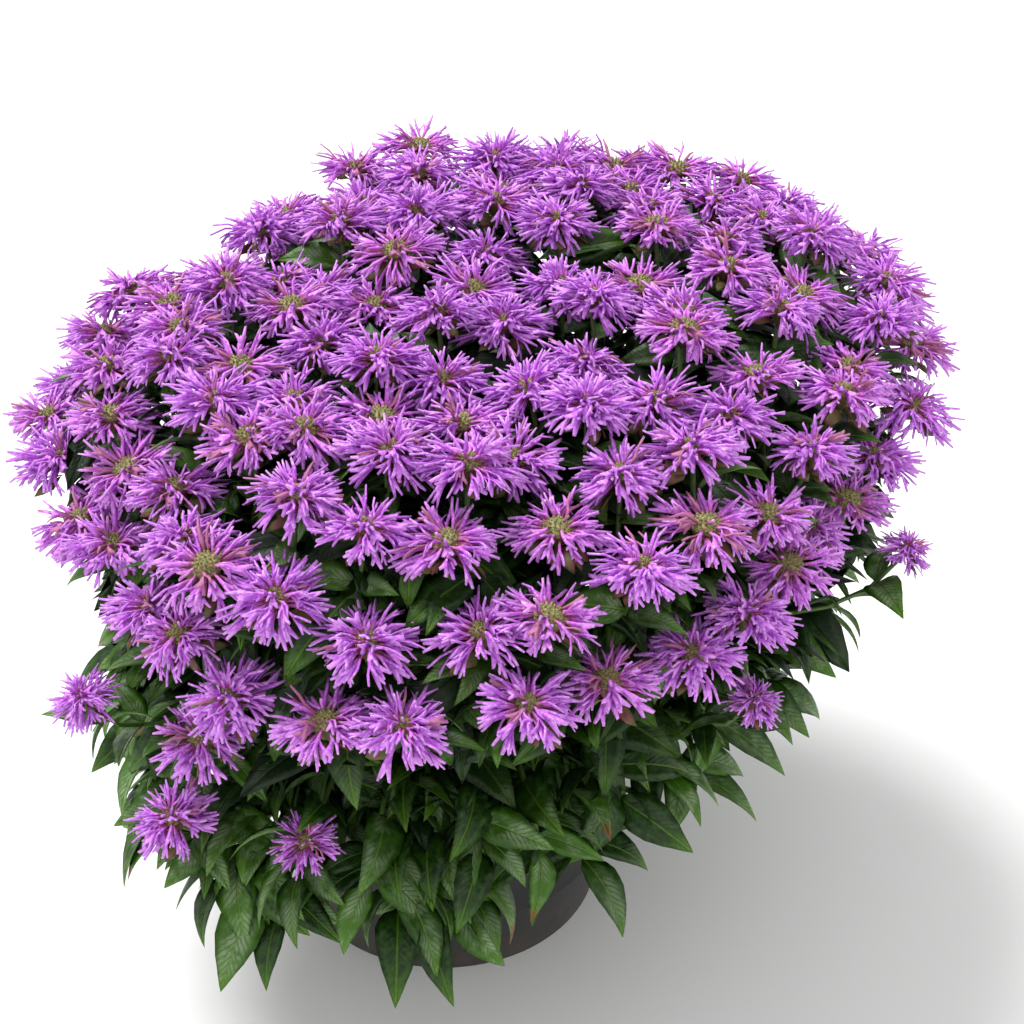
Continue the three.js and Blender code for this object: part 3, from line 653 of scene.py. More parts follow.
# Leafy stems
# Square green stems with a leaf pair at each joint, each pair turned a quarter round from the last. The
# leaves are lance-shaped, toothed and quilted between their veins, and hang in a full skirt at the rim.
STEM_WIDTH = 0.0044
STALK_WIDTH = 0.0026
SHOOT_WIDTH = 0.0032
STEM_STEPS = 9
STEM_SINK = 0.0217
STEM_HEIGHTS = (SOIL_TOP - STEM_SINK, 0.18, 0.225, CORE_FOOT + 0.03, CORE_FOOT + 0.07)
STEM_CHAMFER = 0.16
LEAF_LENGTH = 0.053
LEAF_HALF_WIDTH = 0.0107
LEAF_ROWS = 11
PLAIN_ROWS = 4
LEAF_FOLD = 0.34
LEAF_ROLL = 0.75
LEAF_WIDTHS = (0.85, 1.12)
LEAF_BLUNTNESS = 0.68
LEAF_SHOULDER = 1.12
LEAF_TAPER = 0.5
LEAF_ROOT_WIDTH = 0.1
LEAF_SIDE_LEAD = 0.55
LEAF_MID_LEAD = 0.3
LEAF_THICKNESS = 0.0005
TOOTH = 0.016
QUILT_RISE = 0.0004
LEAF_TRIES = 4
OUTER_RETRY = (0.25, 0.35, 0.94)
INNER_RETRY = (-0.2, -0.2, 0.85)
OUTER_TINTS = (0.2, 1.0)
# Inner leaves get only low tints, which the leaf finish paints deep green: painted shade of the foliage
# inside the plant.
SHADED_INNER_TINTS = (0.0, 0.35)
POT_GAP = 0.003
MIX_GAP = 0.01
HEAD_BASE = -0.38
STALK_START = 0.2
LOW_STALK = (0.1, 0.15)
HIGH_STALK = (0.35, 0.88)
LOW_STALK_PAIRS = 2
HIGH_STALK_PAIRS = 5
STALK_LEAF_START = 0.017
STALK_LEAF_SPREAD = 0.012
STALK_LEAF_GAP = 0.026
BARE_FOOT = 0.02
SHOOTS = [(0.0, 0.0), (-0.62, 0.03), (0.62, 0.024)]
LEANING_SHOOTS = [(-0.32, -0.008), (0.34, 0.004)]
SHOOT_START = 0.205
SHOOT_BOW = (POT_RIM_RADIUS + 0.024, POT_HEIGHT + 0.08)
SHOOT_REACH = 0.8
SHOOT_LEAST_REACH = 0.196
SHOOT_LEAN = 0.042
LEAN_AZIMUTH = math.radians(-128)
SHOOT_END = 0.19
SHOOT_END_SPREAD = 0.014
SHOOT_DIP = 0.02
SHOOT_PAIRS = 6
SHOOT_LEAF_START = 0.02
SHOOT_LEAF_GAP = 0.023
TIP_TURNS = (0.0, -0.85, 0.85)
WALL_ROWS = (0.0, 0.12, 0.26, 0.4, 0.54, 0.68, 0.82, 0.94)
WALL_PLACES = ((-0.85, -0.3, 0.25, 0.8), (-0.6, 0.0, 0.5, 0.95))
WALL_OUT = 0.93
WALL_STAGGER = 0.05
INNER_LEAVES = 6200
INNER_START = -0.18
INNER_END = 0.97
OUTER_END = 6.0
INNER_TOP = 1.15
INNER_TOP_HEAVY = 2.4
HEAD_ROOM = 0.72
INNER_REACH = 0.97
INNER_DEPTH = 0.002


def blade(name, rows, half_width, teeth):
    """A closed blade along +Y, 1 long: a flat section with a keel, pushed out row by row to a point."""
    bpy.ops.mesh.primitive_circle_add(
        vertices=6, radius=1, fill_type="NGON", rotation=(-math.pi / 2, math.radians(30), 0))
    piece = start_piece(name)
    pick("EDGE", lambda middle: middle.z < -0.8)
    bpy.ops.mesh.merge(type="CENTER")
    pick("EDGE", lambda middle: middle.z > 0.8)
    bpy.ops.mesh.subdivide(number_cuts=1)
    pick_all()
    width = LEAF_ROOT_WIDTH * half_width
    stretch(width, 1, 0.58 * LEAF_THICKNESS)
    pick("VERT", lambda spot: abs(spot.x) > 0.9 * width)
    move(y=LEAF_SIDE_LEAD / rows)
    pick("VERT", lambda spot: 0.1 * width < abs(spot.x) < 0.9 * width)
    move(y=LEAF_MID_LEAD / rows)
    pick_all()
    for row in range(1, rows):
        share = row / rows
        wider = half_width * math.sin(math.pi * share ** LEAF_BLUNTNESS)
        wider *= LEAF_SHOULDER - LEAF_TAPER * share ** 2
        wider *= 1 + (teeth if row % 2 else -teeth)
        push(y=1 / rows)
        stretch(wider / width)
        width = wider
    push(y=1 / rows)
    bpy.ops.mesh.merge(type="CENTER")
    close_piece()
    return piece


def quilt(piece, rows, rise):
    """Raises the middle of each side of a blade between its side veins."""
    bpy.context.view_layer.objects.active = piece
    bpy.ops.object.mode_set(mode="EDIT")
    for row in range(3, rows - 1, 2):
        reached = (row + LEAF_MID_LEAD) / rows
        pick("VERT", lambda spot: (
            abs(spot.y - reached) < 0.2 / rows and spot.z > 0 and abs(spot.x) > TOLERANCE))
        move(z=rise)
    close_piece()


leaf = blade("leaf", LEAF_ROWS, LEAF_HALF_WIDTH, TOOTH)
quilt(leaf, LEAF_ROWS, QUILT_RISE)
leaf_points, leaf_faces = taken(leaf)
plain_leaf_points, plain_leaf_faces = taken(blade("plain_leaf", PLAIN_ROWS, LEAF_HALF_WIDTH, 0.0))

bpy.ops.mesh.primitive_cube_add(size=1, location=(0, 0.5, 0))
stem = start_piece("stem")
pick("EDGE", lambda middle: abs(middle.x) > 0.4 and abs(middle.z) > 0.4)
bpy.ops.mesh.bevel(offset=STEM_CHAMFER, segments=1)
for step in range(1, STEM_STEPS):
    pick_all()
    bpy.ops.mesh.bisect(plane_co=(0, step / STEM_STEPS, 0), plane_no=(0, 1, 0))
close_piece()
stem_points, stem_faces = taken(stem)


def arched(points, roots, headings, ups, lengths, scales, lifts, droops):
    """Copies of a master along +Y, 1 long, each bent in an arc from its root: lift first, droop last."""
    t = points[:, 1][None]
    lifts, droops, lengths = lifts[:, None], droops[:, None], lengths[:, None]
    bends = droops - lifts
    bends = np.where(np.abs(bends) < 1e-3, 1e-3, bends)
    now = lifts + bends * t
    along = lengths * (np.sin(now) - np.sin(lifts)) / bends
    rise = lengths * (np.cos(lifts) - np.cos(now)) / bends
    over = points[:, 2][None] * scales[:, None]
    along = along - over * np.sin(now)
    rise = rise + over * np.cos(now)
    sides = np.cross(headings, ups)
    aside = points[:, 0][None] * scales[:, None]
    return (roots[:, None] + headings[:, None] * along[..., None] + ups[:, None] * rise[..., None]
            + sides[:, None] * aside[..., None])


def swept(route, width, reference):
    """The stem master swept along a route, with its flat sides square to a reference direction."""
    steps = np.linalg.norm(np.diff(route, axis=0), axis=1)
    marks = np.concatenate([[0], np.cumsum(steps)]) / steps.sum()
    levels, rows = np.unique(np.round(stem_points[:, 1], 5), return_inverse=True)
    spine = np.stack([np.interp(levels, marks, route[:, k]) for k in range(3)], axis=1)
    tangents = unit(np.gradient(spine, axis=0))
    sides = unit(reference - (tangents @ reference)[:, None] * tangents)
    fronts = np.cross(sides, tangents)
    x, z = stem_points[:, 0, None] * width, stem_points[:, 2, None] * width
    return spine[rows] + sides[rows] * x + fronts[rows] * z


def curve(start, bend, end, count=14):
    """A round bend from start to end."""
    t = np.linspace(0, 1, count)[:, None]
    return (1 - t) ** 2 * start + 2 * t * (1 - t) * bend + t * t * end


def stalk_route(cell, centre, axis, radius, low):
    """From the main stem, up through the foliage and into the base of a head along the head's axis."""
    base = centre + axis * (HEAD_BASE * radius)
    spread = radius_of(base) / (reach(cell["heading"]) * flare(base[2]))
    share = (spread - cell["inner"]) / (min(cell["outer"], CORE_LIMIT) - cell["inner"])
    across = np.clip(-angle_from(base, cell["heading"]) / cell["half"], -0.75, 0.75)
    bend_up, middle_up = LOW_STALK if low else HIGH_STALK
    middle = thicket(cell, across, np.clip(share, 0.15, 0.85), middle_up)
    bend = thicket(cell, 0.4 * across, 0.5 * share, bend_up)
    lower = curve(stem_point(cell, STALK_START), bend, middle)
    upper = curve(middle, base - axis * 0.42 * np.linalg.norm(base - middle), base)
    return np.concatenate([lower[:-1], upper])


def shoot_route(cell, azimuth, end_height):
    """A low side shoot that arches over the pot's rim."""
    lean = SHOOT_LEAN * max(0, math.cos(azimuth - LEAN_AZIMUTH)) ** 3
    out = max(SHOOT_LEAST_REACH, SHOOT_REACH * reach(azimuth) + lean)
    bow = polar(SHOOT_BOW[0], azimuth, SHOOT_BOW[1])
    return curve(stem_point(cell, SHOOT_START), bow, polar(out, azimuth, end_height), 18)


def leaf_spots(route, first, count, gap, turn, side_reference):
    """Leaf pairs down a route from its end: the root and heading of each leaf."""
    steps = np.linalg.norm(np.diff(route, axis=0), axis=1)
    marks = np.concatenate([[0], np.cumsum(steps)])
    found = []
    for k in range(count):
        place = marks[-1] - first - gap * k
        if place < BARE_FOOT:
            break
        root, ahead = (
            np.array([np.interp(spot, marks, route[:, c]) for c in range(3)])
            for spot in (place, place + 0.004))
        tangent = unit(ahead - root)
        side = unit(side_reference - (side_reference @ tangent) * tangent)
        front = np.cross(side, tangent)
        angle = turn + (k % 2) * math.pi / 2
        heading = math.cos(angle) * side + math.sin(angle) * front
        found += [(root, heading), (root, -heading)]
    return found


def flat_heading(direction, fallback):
    """The level direction that a leaf heads in."""
    level = np.array([direction[0], direction[1], 0.0])
    return unit(level) if np.linalg.norm(level) > 0.15 else unit(np.array([fallback[0], fallback[1], 0.0]))


def clear_of_pot(points):
    """Whether points stay out of the pot's wall and above the potting mix."""
    out = radius_of(points)
    over_rim = points[..., 2] > POT_HEIGHT + POT_GAP
    outside = out > POT_RIM_RADIUS + POT_GAP
    in_mouth = (points[..., 2] > SOIL_TOP + MIX_GAP) & (out < POT_TOP_RADIUS - 2 * POT_GAP)
    return np.all(over_rim | outside | in_mouth)


def clear_of_heads(points):
    """Whether points stay out of the inner part of every flower head."""
    gaps = np.linalg.norm(points[:, None] - centres[None], axis=2)
    return np.all(gaps > HEAD_ROOM * radii)


def under_canopy(points):
    """Whether points stay within the dome that the flower heads make."""
    near = radius_of(points) < INNER_REACH * reach(azimuth_of(points))
    return np.all(near & (points[..., 2] < canopy_height(points) - INNER_DEPTH))


spine_only = np.array([[0.0, t, 0.0] for t in (0.3, 0.6, 0.85, 1.0)])
chance = np.random.default_rng(23)
up_only = np.array([0.0, 0.0, 1.0])


def angle_between(low, high):
    """A random angle between two that are given in degrees."""
    return math.radians(chance.uniform(low, high))


def grow_leaf(leaves, root, heading, lift, droop, length, fine):
    """Adds a leaf that clears the pot and the heads, or none after a few tries: a fine, outer leaf is
    turned up in between, an inner one, which has to stay under the canopy too, down."""
    for _ in range(LEAF_TRIES):
        tips = arched(
            spine_only, root[None], heading[None], up_only[None], np.array([length]), np.array([1.0]),
            np.array([lift]), np.array([droop]))[0]
        if clear_of_pot(tips) and clear_of_heads(tips) and (fine or under_canopy(tips)):
            leaves.append((root, heading, lift, droop, length, fine))
            return
        more_lift, more_droop, shorter = OUTER_RETRY if fine else INNER_RETRY
        lift += more_lift
        droop += more_droop
        length *= shorter


def draw_leaf(leaves, root, heading, lifts, bends, lengths, fine=True):
    """Grows a leaf whose lift and bend, in degrees, and length, in usual ones, lie in given ranges."""
    lift = angle_between(*lifts)
    droop = lift - angle_between(*bends)
    grow_leaf(leaves, root, heading, lift, droop, LEAF_LENGTH * chance.uniform(*lengths), fine)


sprays = []
for index, cell in enumerate(cells):
    outward = polar(1.0, cell["heading"], 0.0)
    tangential = np.array([-outward[1], outward[0], 0.0])
    route = np.array([stem_point(cell, height) for height in STEM_HEIGHTS])
    rods = [swept(route, STEM_WIDTH, tangential)]
    leaves = []
    for head in [h for h, home in enumerate(head_cells) if home == index]:
        low = head >= HEAD_COUNT
        route = stalk_route(cell, centres[head], axes[head], radii[head], low)
        rods.append(swept(route, STALK_WIDTH, tangential))
        first = STALK_LEAF_START + STALK_LEAF_SPREAD * chance.random()
        turn = math.pi * chance.random()
        pairs = LOW_STALK_PAIRS if low else HIGH_STALK_PAIRS
        for root, heading in leaf_spots(route, first, pairs, STALK_LEAF_GAP, turn, tangential):
            near_top = canopy_height(root) - root[2] < 0.06
            near_side = radius_of(root) > 0.62 * reach(azimuth_of(root)) * flare(root[2])
            level = flat_heading(heading + 0.35 * outward, outward)
            lifts = (18, 52) if near_top else (-5, 32)
            draw_leaf(leaves, root, level, lifts, (35, 75), (0.62, 0.98), near_side or near_top)

    is_outer = cell["outer"] == math.inf
    if is_outer:
        leans = math.cos(cell["heading"] - LEAN_AZIMUTH) > 0.5
        for across, higher in SHOOTS + (LEANING_SHOOTS if leans else []):
            azimuth = cell["heading"] - across * cell["half"]
            dip = SHOOT_DIP * max(0, math.cos(azimuth - LEAN_AZIMUTH))
            end_height = SHOOT_END + higher + SHOOT_END_SPREAD * draw(index, 30) - dip
            route = shoot_route(cell, azimuth, end_height)
            rods.append(swept(route, SHOOT_WIDTH, tangential))
            for turn in TIP_TURNS:
                heading = polar(1.0, azimuth + turn + chance.uniform(-0.35, 0.35), 0.0)
                lift, droop = angle_between(-18, 14), angle_between(-86, -50)
                length = LEAF_LENGTH * chance.uniform(0.8, 1.2)
                grow_leaf(leaves, route[-1 if turn == 0 else -2], heading, lift, droop, length, True)
            for root, heading in leaf_spots(
                    route, SHOOT_LEAF_START, SHOOT_PAIRS, SHOOT_LEAF_GAP, 0.0, tangential):
                level = flat_heading(heading + chance.uniform(0.2, 0.8) * outward, outward)
                draw_leaf(leaves, root, level, (0, 38), (55, 105), (0.75, 1.2))
        for row, up in enumerate(WALL_ROWS):
            for across in WALL_PLACES[row % 2]:
                root = thicket(cell, across, WALL_OUT, up + WALL_STAGGER * chance.random())
                heading = polar(1.0, azimuth_of(root) + chance.uniform(-1.1, 1.1), 0.0)
                draw_leaf(leaves, root, heading, (0, 42), (70, 105), (0.85, 1.15))

    span = min(cell["outer"], 1.0) ** 2 - cell["inner"] ** 2
    inner_count = round(INNER_LEAVES * cell["half"] * span * reach(cell["heading"]) ** 2)
    for _ in range(inner_count):
        out = chance.uniform(INNER_START, OUTER_END if is_outer else INNER_END)
        root = thicket(cell, chance.uniform(-1, 1), out, INNER_TOP - chance.random() ** INNER_TOP_HEAVY)
        heading = polar(1.0, azimuth_of(root) + chance.uniform(-1.5, 1.5), 0.0)
        draw_leaf(leaves, root, heading, (-5, 42), (20, 70), (1.05, 1.45), fine=False)
    sprays.append((rods, leaves))


def joined(batches):
    """Several sets of points, triangles, materials and growth as one."""
    points, faces, owner, grow = zip(*batches)
    firsts = np.cumsum([0] + [len(part) for part in points[:-1]])
    faces = [part + first for part, first in zip(faces, firsts)]
    return [np.concatenate(parts) for parts in (points, faces, owner, grow)]


foliage = Finish("quilted_leaf")
along, across, tint = foliage.grown()
mottle = foliage.noise(240, 4)
patches = foliage.noise(70, 3)
aside = abs(across)
veins = (along * 13 - aside * 4.2 + aside * aside * 1.1 + mottle * 0.9).fraction()
# The side-vein grooves sink in the bump and are also painted darker, as painted shade in the creases.
groove = (abs(veins - 0.5) * 2).ramp(0.45, 1.0) * (1 - aside.ramp(0.5, 0.95)) * patches.ramp(0.25, 0.6)
rib = 1 - aside.ramp(0.015, 0.09)
# Painted sheen: pale grey-green patches on part of the leaves stand in for the sky reflecting off the
# glossy cushions between the veins.
painted_gloss_patches = (patches + 0.12 * mottle).ramp(0.46, 0.66) * tint.ramp(0.3, 0.8)
painted_gloss_between_veins = (1 - 0.5 * groove) * (1 - aside.ramp(0.3, 0.8)) * painted_gloss_patches
browned = tint.ramp(0.97, 0.98) * (along + 0.3 * patches).ramp(0.95, 1.05)
leaf_material = foliage.close(
    Base_Color=foliage.layers(
        (15, 37, 6),
        (mottle.ramp(0.3, 0.7), (38, 76, 12)),
        (tint.ramp(0.35, 1.0) * 0.7, (74, 122, 22)),
        # painted reflection: the pale sheen on the cushions between the veins
        (painted_gloss_between_veins * 0.5, (160, 182, 142)),
        (along.ramp(0.6, 1.0) * 0.5, (84, 130, 22)),
        # painted shade in the vein grooves
        (groove * 0.3, (20, 44, 8)),
        (rib * 0.5, (98, 140, 34)),
        # painted shade: the low tints of the inner leaves turn deep green
        (1 - tint.ramp(0.0, 0.3), (17, 40, 9)),
        (browned, (122, 84, 46)),
    ),
    Roughness=0.3 + 0.25 * mottle,
    Specular_IOR_Level=0.36,
    Normal=foliage.relief(mottle - 0.3 * groove - rib, 0.0005),
)

stalk_green = Finish("square_stem")
stem_along = stalk_green.grown()[0]
stem_mottle = stalk_green.noise(300, 4)
stem_material = stalk_green.close(
    Base_Color=stalk_green.layers(
        (48, 76, 28),
        (stem_mottle, (92, 122, 50)),
        (stem_along.ramp(0.35, 0.0) * 0.5, (84, 62, 40)),
    ),
    Roughness=0.55,
    Normal=stalk_green.relief(stem_mottle, 0.0004),
)

leaf_kinds = (
    (True, leaf_points, leaf_faces, OUTER_TINTS),
    (False, plain_leaf_points, plain_leaf_faces, SHADED_INNER_TINTS),
)
stem_grow = np.stack([stem_points[:, 1], stem_points[:, 0], np.zeros(len(stem_points))], axis=1)
for index, (rods, leaves) in enumerate(sprays):
    batches = [(rod, stem_faces, np.zeros(len(stem_faces)), stem_grow) for rod in rods]
    for fine, master, master_faces, tint_range in leaf_kinds:
        chosen = [leaf for leaf in leaves if leaf[5] == fine]
        if not chosen:
            continue
        roots, headings, lifts, droops, lengths = (np.array([leaf[k] for leaf in chosen]) for k in range(5))
        count = len(chosen)
        folded = master.copy()
        folded[:, 2] += LEAF_FOLD * np.abs(folded[:, 0])
        rolls = chance.uniform(-LEAF_ROLL, LEAF_ROLL, count)[:, None]
        ups = np.tile(up_only, (count, 1))
        sides = np.cross(headings, ups)
        ups = unit(ups * np.cos(rolls) + sides * np.sin(rolls))
        widths = lengths / LEAF_LENGTH * chance.uniform(*LEAF_WIDTHS, count)
        placed = arched(folded, roots, headings, ups, lengths, widths, lifts, droops)
        tints = np.repeat(chance.uniform(*tint_range, count), len(master))
        plan = np.tile(np.stack([master[:, 1], master[:, 0] / LEAF_HALF_WIDTH], axis=1), (count, 1))
        batches.append((placed.reshape(-1, 3), copies(master_faces, count, len(master)),
                        np.ones(len(master_faces) * count), np.column_stack([plan, tints])))
    spray = settle(f"stem_and_leaves_{index + 1:02d}", [stem_material, leaf_material], *joined(batches))
    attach(spray, "root")
    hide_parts(f"leafy_stem_{index + 1:02d}")


# Flower heads
# Each head is a low dome of packed calyces in a reddish cup, on a whorl of leafy bracts. Long two-lipped
# lilac florets stand out of it on all sides, and the old heads have a bare green disc in the middle.
TUBE = [(0.0, 0.0006), (0.42, 0.0012)]
UPPER_LIP = [(0.68, 0.0026, 0.0011), (0.98, 0.0022, 0.0006)]
LOWER_LIP = [(0.58, -0.0009, 0.0017), (0.78, -0.001, 0.0026)]
LOBE = (0.2, -0.0018, 0.0014)
BUD = [(0.5, 1.3), (0.35, 1.25), (0.12, 0.5)]
FLORET_HEIGHT = 0.004
COPY_ROLL = 1.25
COPY_LENGTHS = (0.7, 1.12)
COPY_SIZES = (0.8, 1.25)
OUTER_FLORETS = 21
MIDDLE_FLORETS = 20
INNER_FLORETS = 16
CROWN_FLORETS = 12
BUD_COUNT = 6
DISC_RADIUS = (0.0052, 0.0102)
DISC_RISE = 0.0055
CUP_DEPTH = 0.0115
CUP_LEAST_RADIUS = 0.0068
CALYX_COUNT = 38
CALYX_SIZE = 0.0011
BRACT_COUNT = 8
BRACT_LENGTH = 0.021
BRACT_HALF_WIDTH = 0.0046
BRACT_ROWS = 3
PETAL, DISC, BRACT = range(3)


def start_tube(name):
    """A small square that faces +Y, for a floret to be pushed out of."""
    bpy.ops.mesh.primitive_circle_add(
        vertices=4, radius=TUBE[0][1], fill_type="NGON", rotation=(-math.pi / 2, 0, 0))
    piece = start_piece(name)
    pick_all()
    return piece


def lip(route, upward):
    """Draws one lip out of its half of the floret's throat, through places along, up and half as wide."""
    place, width = TUBE[-1]
    pick("FACE", lambda middle: middle.y > place - TOLERANCE and middle.z * upward > TOLERANCE)
    for reached, climb, wider in route:
        push(y=reached - place, z=climb)
        stretch(wider / width)
        place, width = reached, wider
    return place


floret = start_tube("floret")
for (place, width), (reached, wider) in zip(TUBE, TUBE[1:]):
    push(y=reached - place)
    stretch(wider / width, 1, wider / width)
pick("VERT", lambda spot: spot.y > TUBE[-1][0] - TOLERANCE and abs(spot.z) < TOLERANCE)
bpy.ops.mesh.vert_connect()
lip(UPPER_LIP, 1)
tip = lip(LOWER_LIP, -1)
bpy.ops.mesh.bisect(plane_co=(0, 0, 0), plane_no=(1, 0, 0))
for side in (-1, 1):
    pick("FACE", lambda middle: (
        abs(middle.y - tip) < TOLERANCE and middle.z < 0 and middle.x * side > TOLERANCE))
    push(x=side * LOBE[2], y=LOBE[0] * (1 - 0.1 * side), z=LOBE[1])
    stretch(0.6, 1, 0.6, (side * (LOBE[2] + 0.5 * LOWER_LIP[-1][2]), tip, -0.002))
close_piece()
floret_master = (*taken(floret), PETAL)

floret_bud = start_tube("floret_bud")
for reached, wider in BUD:
    push(y=reached)
    stretch(wider, 1, wider)
close_piece()
bud_master = (*taken(floret_bud), PETAL)
bract_master = (*taken(blade("bract", BRACT_ROWS, BRACT_HALF_WIDTH, 0.0)), BRACT)

bpy.ops.mesh.primitive_cone_add(
    vertices=4, radius1=CALYX_SIZE, radius2=0.5 * CALYX_SIZE, depth=3 * CALYX_SIZE)
calyx = start_piece("calyx")
pick("FACE", lambda middle: middle.z > 1.4 * CALYX_SIZE)
bpy.ops.mesh.poke(offset=-0.6 * CALYX_SIZE)
close_piece()
calyx_points, calyx_faces = taken(calyx)

bpy.ops.mesh.primitive_uv_sphere_add(segments=12, ring_count=8, radius=1)
cup = start_piece("cup")
pick("VERT", lambda spot: spot.z < -0.1)
stretch(0.85, 0.85, 1)
pick("VERT", lambda spot: spot.z < -0.8)
stretch(0.6, 0.6, 1)
close_piece()
cup_points, cup_faces = taken(cup)
cup_is_low = cup_points[cup_faces].mean(axis=1)[:, 2] < 0

petal = Finish("lilac_petal")
petal_along, petal_up, petal_tint = petal.grown()
head_tone = petal.out("ShaderNodeAttribute", {"attribute_name": "tone"}, None, "Fac")
# Fine streaks along the florets: they darken some veins, give the bump, and paint near-white glints as
# painted highlights.
streaks_and_glints = petal.noise(520, 3)
withered = petal_tint.ramp(0.95, 0.96)
petal_material = petal.close(
    Base_Color=petal.layers(
        (190, 90, 130),
        (petal_along.ramp(0.12, 0.5), (202, 102, 232)),
        (petal_tint.ramp(0.25, 1.0) * 0.6, (232, 142, 242)),
        (head_tone.ramp(0.4, 1.0) * 0.4, (224, 118, 220)),
        # darker upper lip: partly the hood's own deeper violet, partly painted shade
        (petal_up.ramp(0.6, 1.0) * 0.35, (166, 80, 196)),
        # paler lip tips: partly their own lighter colour, partly a painted highlight
        (petal_along.ramp(0.55, 1.0) * 0.6, (234, 170, 252)),
        (streaks_and_glints.ramp(0.46, 0.3) * 0.45, (164, 58, 182)),
        # painted highlights: near-white glints along the florets
        (streaks_and_glints.ramp(0.5, 0.7) * 0.5, (250, 212, 254)),
        (withered * 0.75, (166, 100, 102)),
    ),
    Roughness=0.62,
    Specular_IOR_Level=0.3,
    Normal=petal.relief(streaks_and_glints, 0.0003),
)
disc = Finish("green_disc")
disc_tone = disc.noise(900, 3)
disc_material = disc.close(
    Base_Color=disc.layers(
        (86, 86, 42),
        (disc_tone.ramp(0.35, 0.65), (166, 162, 102)),
        (disc.noise(210, 2).ramp(0.48, 0.66) * 0.6, (132, 82, 74)),
    ),
    Roughness=0.7,
    Normal=disc.relief(disc_tone, 0.0004),
)
bract_finish = Finish("reddish_bract")
bract_tone = bract_finish.noise(180, 4)
bract_material = bract_finish.close(
    Base_Color=bract_finish.mix(bract_tone.ramp(0.38, 0.62), srgb(84, 92, 34), srgb(112, 66, 54)),
    Roughness=0.55,
    Normal=bract_finish.relief(bract_tone, 0.0005),
)


def head_copies(head):
    """The florets, calyces, cup and bracts of one head: points, triangles, materials and growth."""
    centre, axis, radius = centres[head], axes[head], radii[head]
    side = unit(np.cross(axis, (0.0, 1.0, 0.3)))
    front = np.cross(axis, side)
    age = chance.random()
    size = min(1.0, radius / HEAD_RADIUS)
    disc_radius = size * (DISC_RADIUS[0] + (DISC_RADIUS[1] - DISC_RADIUS[0]) * age ** 1.5)
    batches = []

    def ways(angles):
        return np.cos(angles)[:, None] * side + np.sin(angles)[:, None] * front

    def whorl(master, count, seat, height, lifts, droops, length, tints, turned=0.0):
        """Adds copies of a master all round the head, each with its own turn, bend and length."""
        if count == 0:
            return
        points, faces, material = master
        angles = math.tau * (np.arange(count) + turned + chance.uniform(-1.0, 1.0, count)) / count
        headings = ways(angles)
        lift = np.radians(chance.uniform(*lifts, count))
        droop = lift - np.radians(chance.uniform(*droops, count))
        rolls = chance.uniform(-COPY_ROLL, COPY_ROLL, count)[:, None]
        ups = axis * np.cos(rolls) + np.cross(headings, np.tile(axis, (count, 1))) * np.sin(rolls)
        placed = arched(
            points, centre + headings * seat + axis * height, headings, ups,
            length * chance.uniform(*COPY_LENGTHS, count), size * chance.uniform(*COPY_SIZES, count),
            lift, droop)
        tint = np.repeat(chance.uniform(*tints, count), len(points))
        plan = np.tile(np.stack([points[:, 1], 0.5 + points[:, 2] / FLORET_HEIGHT], axis=1), (count, 1))
        batches.append((placed.reshape(-1, 3), copies(faces, count, len(points)),
                        np.full(count * len(faces), material), np.column_stack([plan, tint])))

    reached = 1.06 * radius - 0.85 * disc_radius
    whorl(floret_master, OUTER_FLORETS, seat=0.85 * disc_radius, height=-0.002,
          lifts=(-14, 24), droops=(-5, 60), length=reached, tints=(0.0, 0.955))
    whorl(floret_master, MIDDLE_FLORETS, seat=0.75 * disc_radius, height=0.001,
          lifts=(4, 42), droops=(5, 84), length=0.96 * reached, tints=(0.0, 0.97 + 0.05 * age), turned=0.5)
    whorl(floret_master, round(INNER_FLORETS * (1 - 0.5 * age)), seat=0.6 * disc_radius, height=0.003,
          lifts=(26, 66), droops=(16, 110), length=0.76 * reached, tints=(0.1, 1.0 + 0.3 * age ** 2))
    whorl(floret_master, round(CROWN_FLORETS * max(0, 1 - 1.2 * age)), seat=0.4 * disc_radius, height=0.004,
          lifts=(44, 92), droops=(0, 90), length=0.55 * reached, tints=(0.2, 1.0))
    whorl(bud_master, round(BUD_COUNT * (1 - age)), seat=0.35 * disc_radius, height=0.0035,
          lifts=(50, 85), droops=(0, 15), length=0.34 * reached, tints=(0.75, 1.0))
    whorl(bract_master, BRACT_COUNT, seat=0.004, height=-0.85 * CUP_DEPTH * size,
          lifts=(8, 36), droops=(10, 75), length=BRACT_LENGTH * size, tints=(0.0, 1.0))

    order = np.arange(CALYX_COUNT)
    out = np.sqrt((order + 0.5) / CALYX_COUNT)
    around = ways(spiral(order))
    outward = unit(around * out[:, None] + axis * (1.1 - 0.7 * out)[:, None])
    across = unit(np.cross(outward, side + 0.3 * axis))
    over = np.cross(outward, across)
    rise = DISC_RISE * size * np.sqrt(1 - out ** 2)
    seats = centre + around * (out * disc_radius)[:, None] + axis * rise[:, None]
    sizes = (size * chance.uniform(*COPY_SIZES, CALYX_COUNT))[:, None, None]
    x, y, z = calyx_points.T[:, None, :, None]
    placed = seats[:, None] + sizes * (across[:, None] * x + over[:, None] * y + outward[:, None] * z)
    placed = placed.reshape(-1, 3)
    batches.append((placed, copies(calyx_faces, CALYX_COUNT, len(calyx_points)),
                    np.full(CALYX_COUNT * len(calyx_faces), DISC), np.zeros(placed.shape)))

    x, y, z = cup_points.T[:, :, None]
    deep = np.where(z > 0, DISC_RISE, CUP_DEPTH) * size
    wide = max(disc_radius, CUP_LEAST_RADIUS * size)
    placed = centre + (side * x + front * y) * wide + axis * z * deep
    batches.append((placed, cup_faces, np.where(cup_is_low, BRACT, DISC), np.zeros(placed.shape)))
    return batches, age


bloom_nodes = sorted(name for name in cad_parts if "bloom" in name)
node_points = {name: np.array([v.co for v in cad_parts[name].data.vertices]) for name in bloom_nodes}


def home_of(head):
    """The node whose solid holds a head, found by the dome's top."""
    top = centres[head] + axes[head] * 0.3 * radii[head]
    return min(bloom_nodes, key=lambda name: np.linalg.norm(node_points[name] - top, axis=1).min())


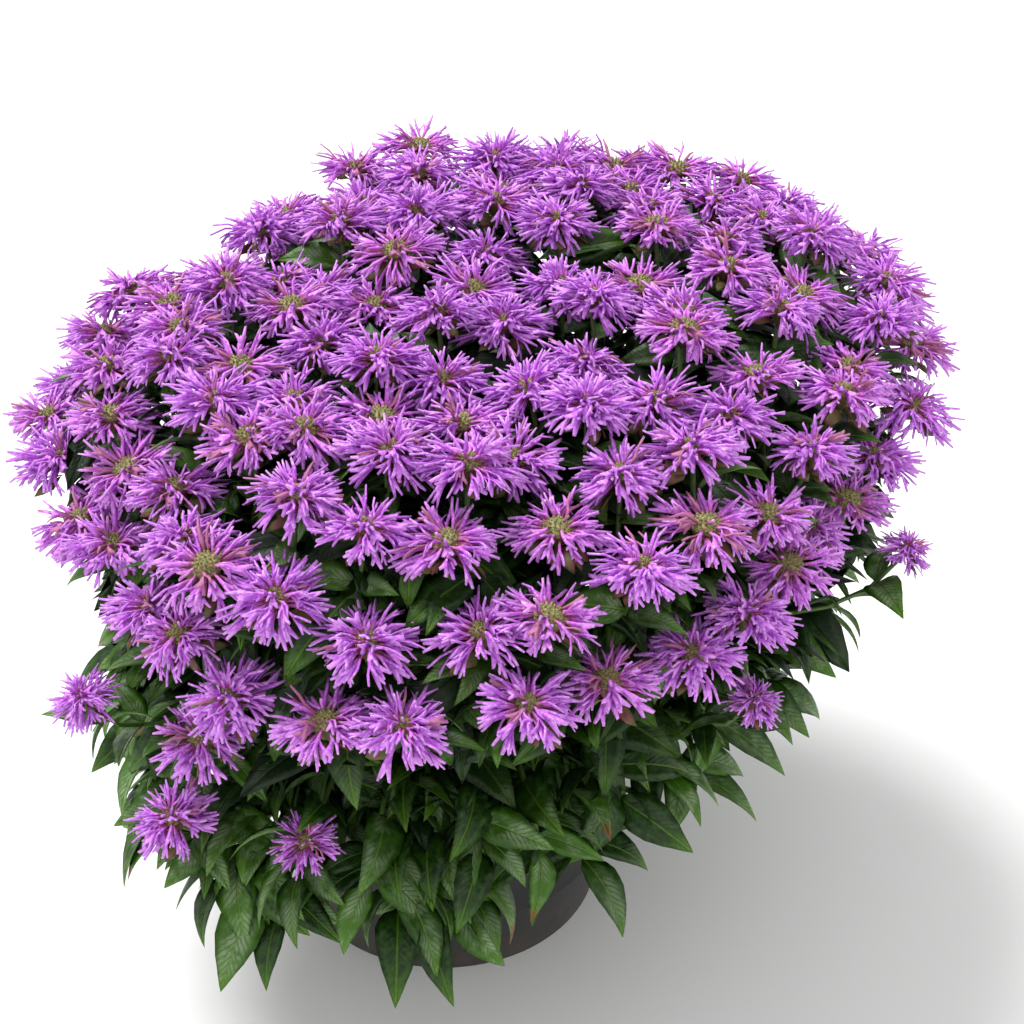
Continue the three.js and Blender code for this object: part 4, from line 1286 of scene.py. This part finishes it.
homes = [home_of(head) for head in range(len(centres))]
for name in bloom_nodes:
    batches, tones = [], []
    for head in [h for h, home in enumerate(homes) if home == name]:
        parts, tone = head_copies(head)
        batches += parts
        tones += [np.full(len(part[0]), tone) for part in parts]
    cluster = settle(
        name.replace("blooms", "flower_heads").replace("low_bloom", "low_flower_head"),
        [petal_material, disc_material, bract_material], *joined(batches), np.concatenate(tones))
    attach(cluster, "root")
    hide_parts(name)


# Floor, light and camera
# A plain pale floor under a soft sky and one large lamp, seen from the front and above. The object
# stands on the floor at the origin.
CAMERA_ELEVATION = math.radians(31)
CAMERA_DISTANCE = 1.05
CAMERA_TARGET = (0.05, -0.02, 0.33)
CAMERA_LENS = 55

bpy.ops.mesh.primitive_plane_add(size=12, location=(0, 0, 0))
floor = bpy.context.object
floor.name = "floor"
floor_finish = Finish("pale_floor")
floor.data.materials.append(floor_finish.close(
    Base_Color=floor_finish.mix(floor_finish.noise(2.0, 2), srgb(236, 236, 236), srgb(244, 244, 243)),
    Roughness=0.9,
))
floor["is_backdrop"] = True

world = bpy.data.worlds.new("soft_sky")
bpy.context.scene.world = world
world.use_nodes = True
world.node_tree.nodes["Background"].inputs["Color"].default_value = (1.0, 1.0, 1.0, 1)
world.node_tree.nodes["Background"].inputs["Strength"].default_value = 0.9
bpy.context.scene.view_settings.view_transform = "Standard"

bpy.ops.object.light_add(type="SUN", rotation=(math.radians(-24), math.radians(-22), 0))
sun = bpy.context.object
sun.name = "hazy_sun"
sun.data.energy = 3.3
sun.data.angle = math.radians(28)

bpy.ops.object.camera_add()
camera = bpy.context.object
camera.data.lens = CAMERA_LENS
camera.location = (
    CAMERA_TARGET[0],
    CAMERA_TARGET[1] - CAMERA_DISTANCE * math.cos(CAMERA_ELEVATION),
    CAMERA_TARGET[2] + CAMERA_DISTANCE * math.sin(CAMERA_ELEVATION),
)
camera.rotation_euler = (math.pi / 2 - CAMERA_ELEVATION, 0, 0)
bpy.context.scene.camera = camera

low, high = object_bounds()
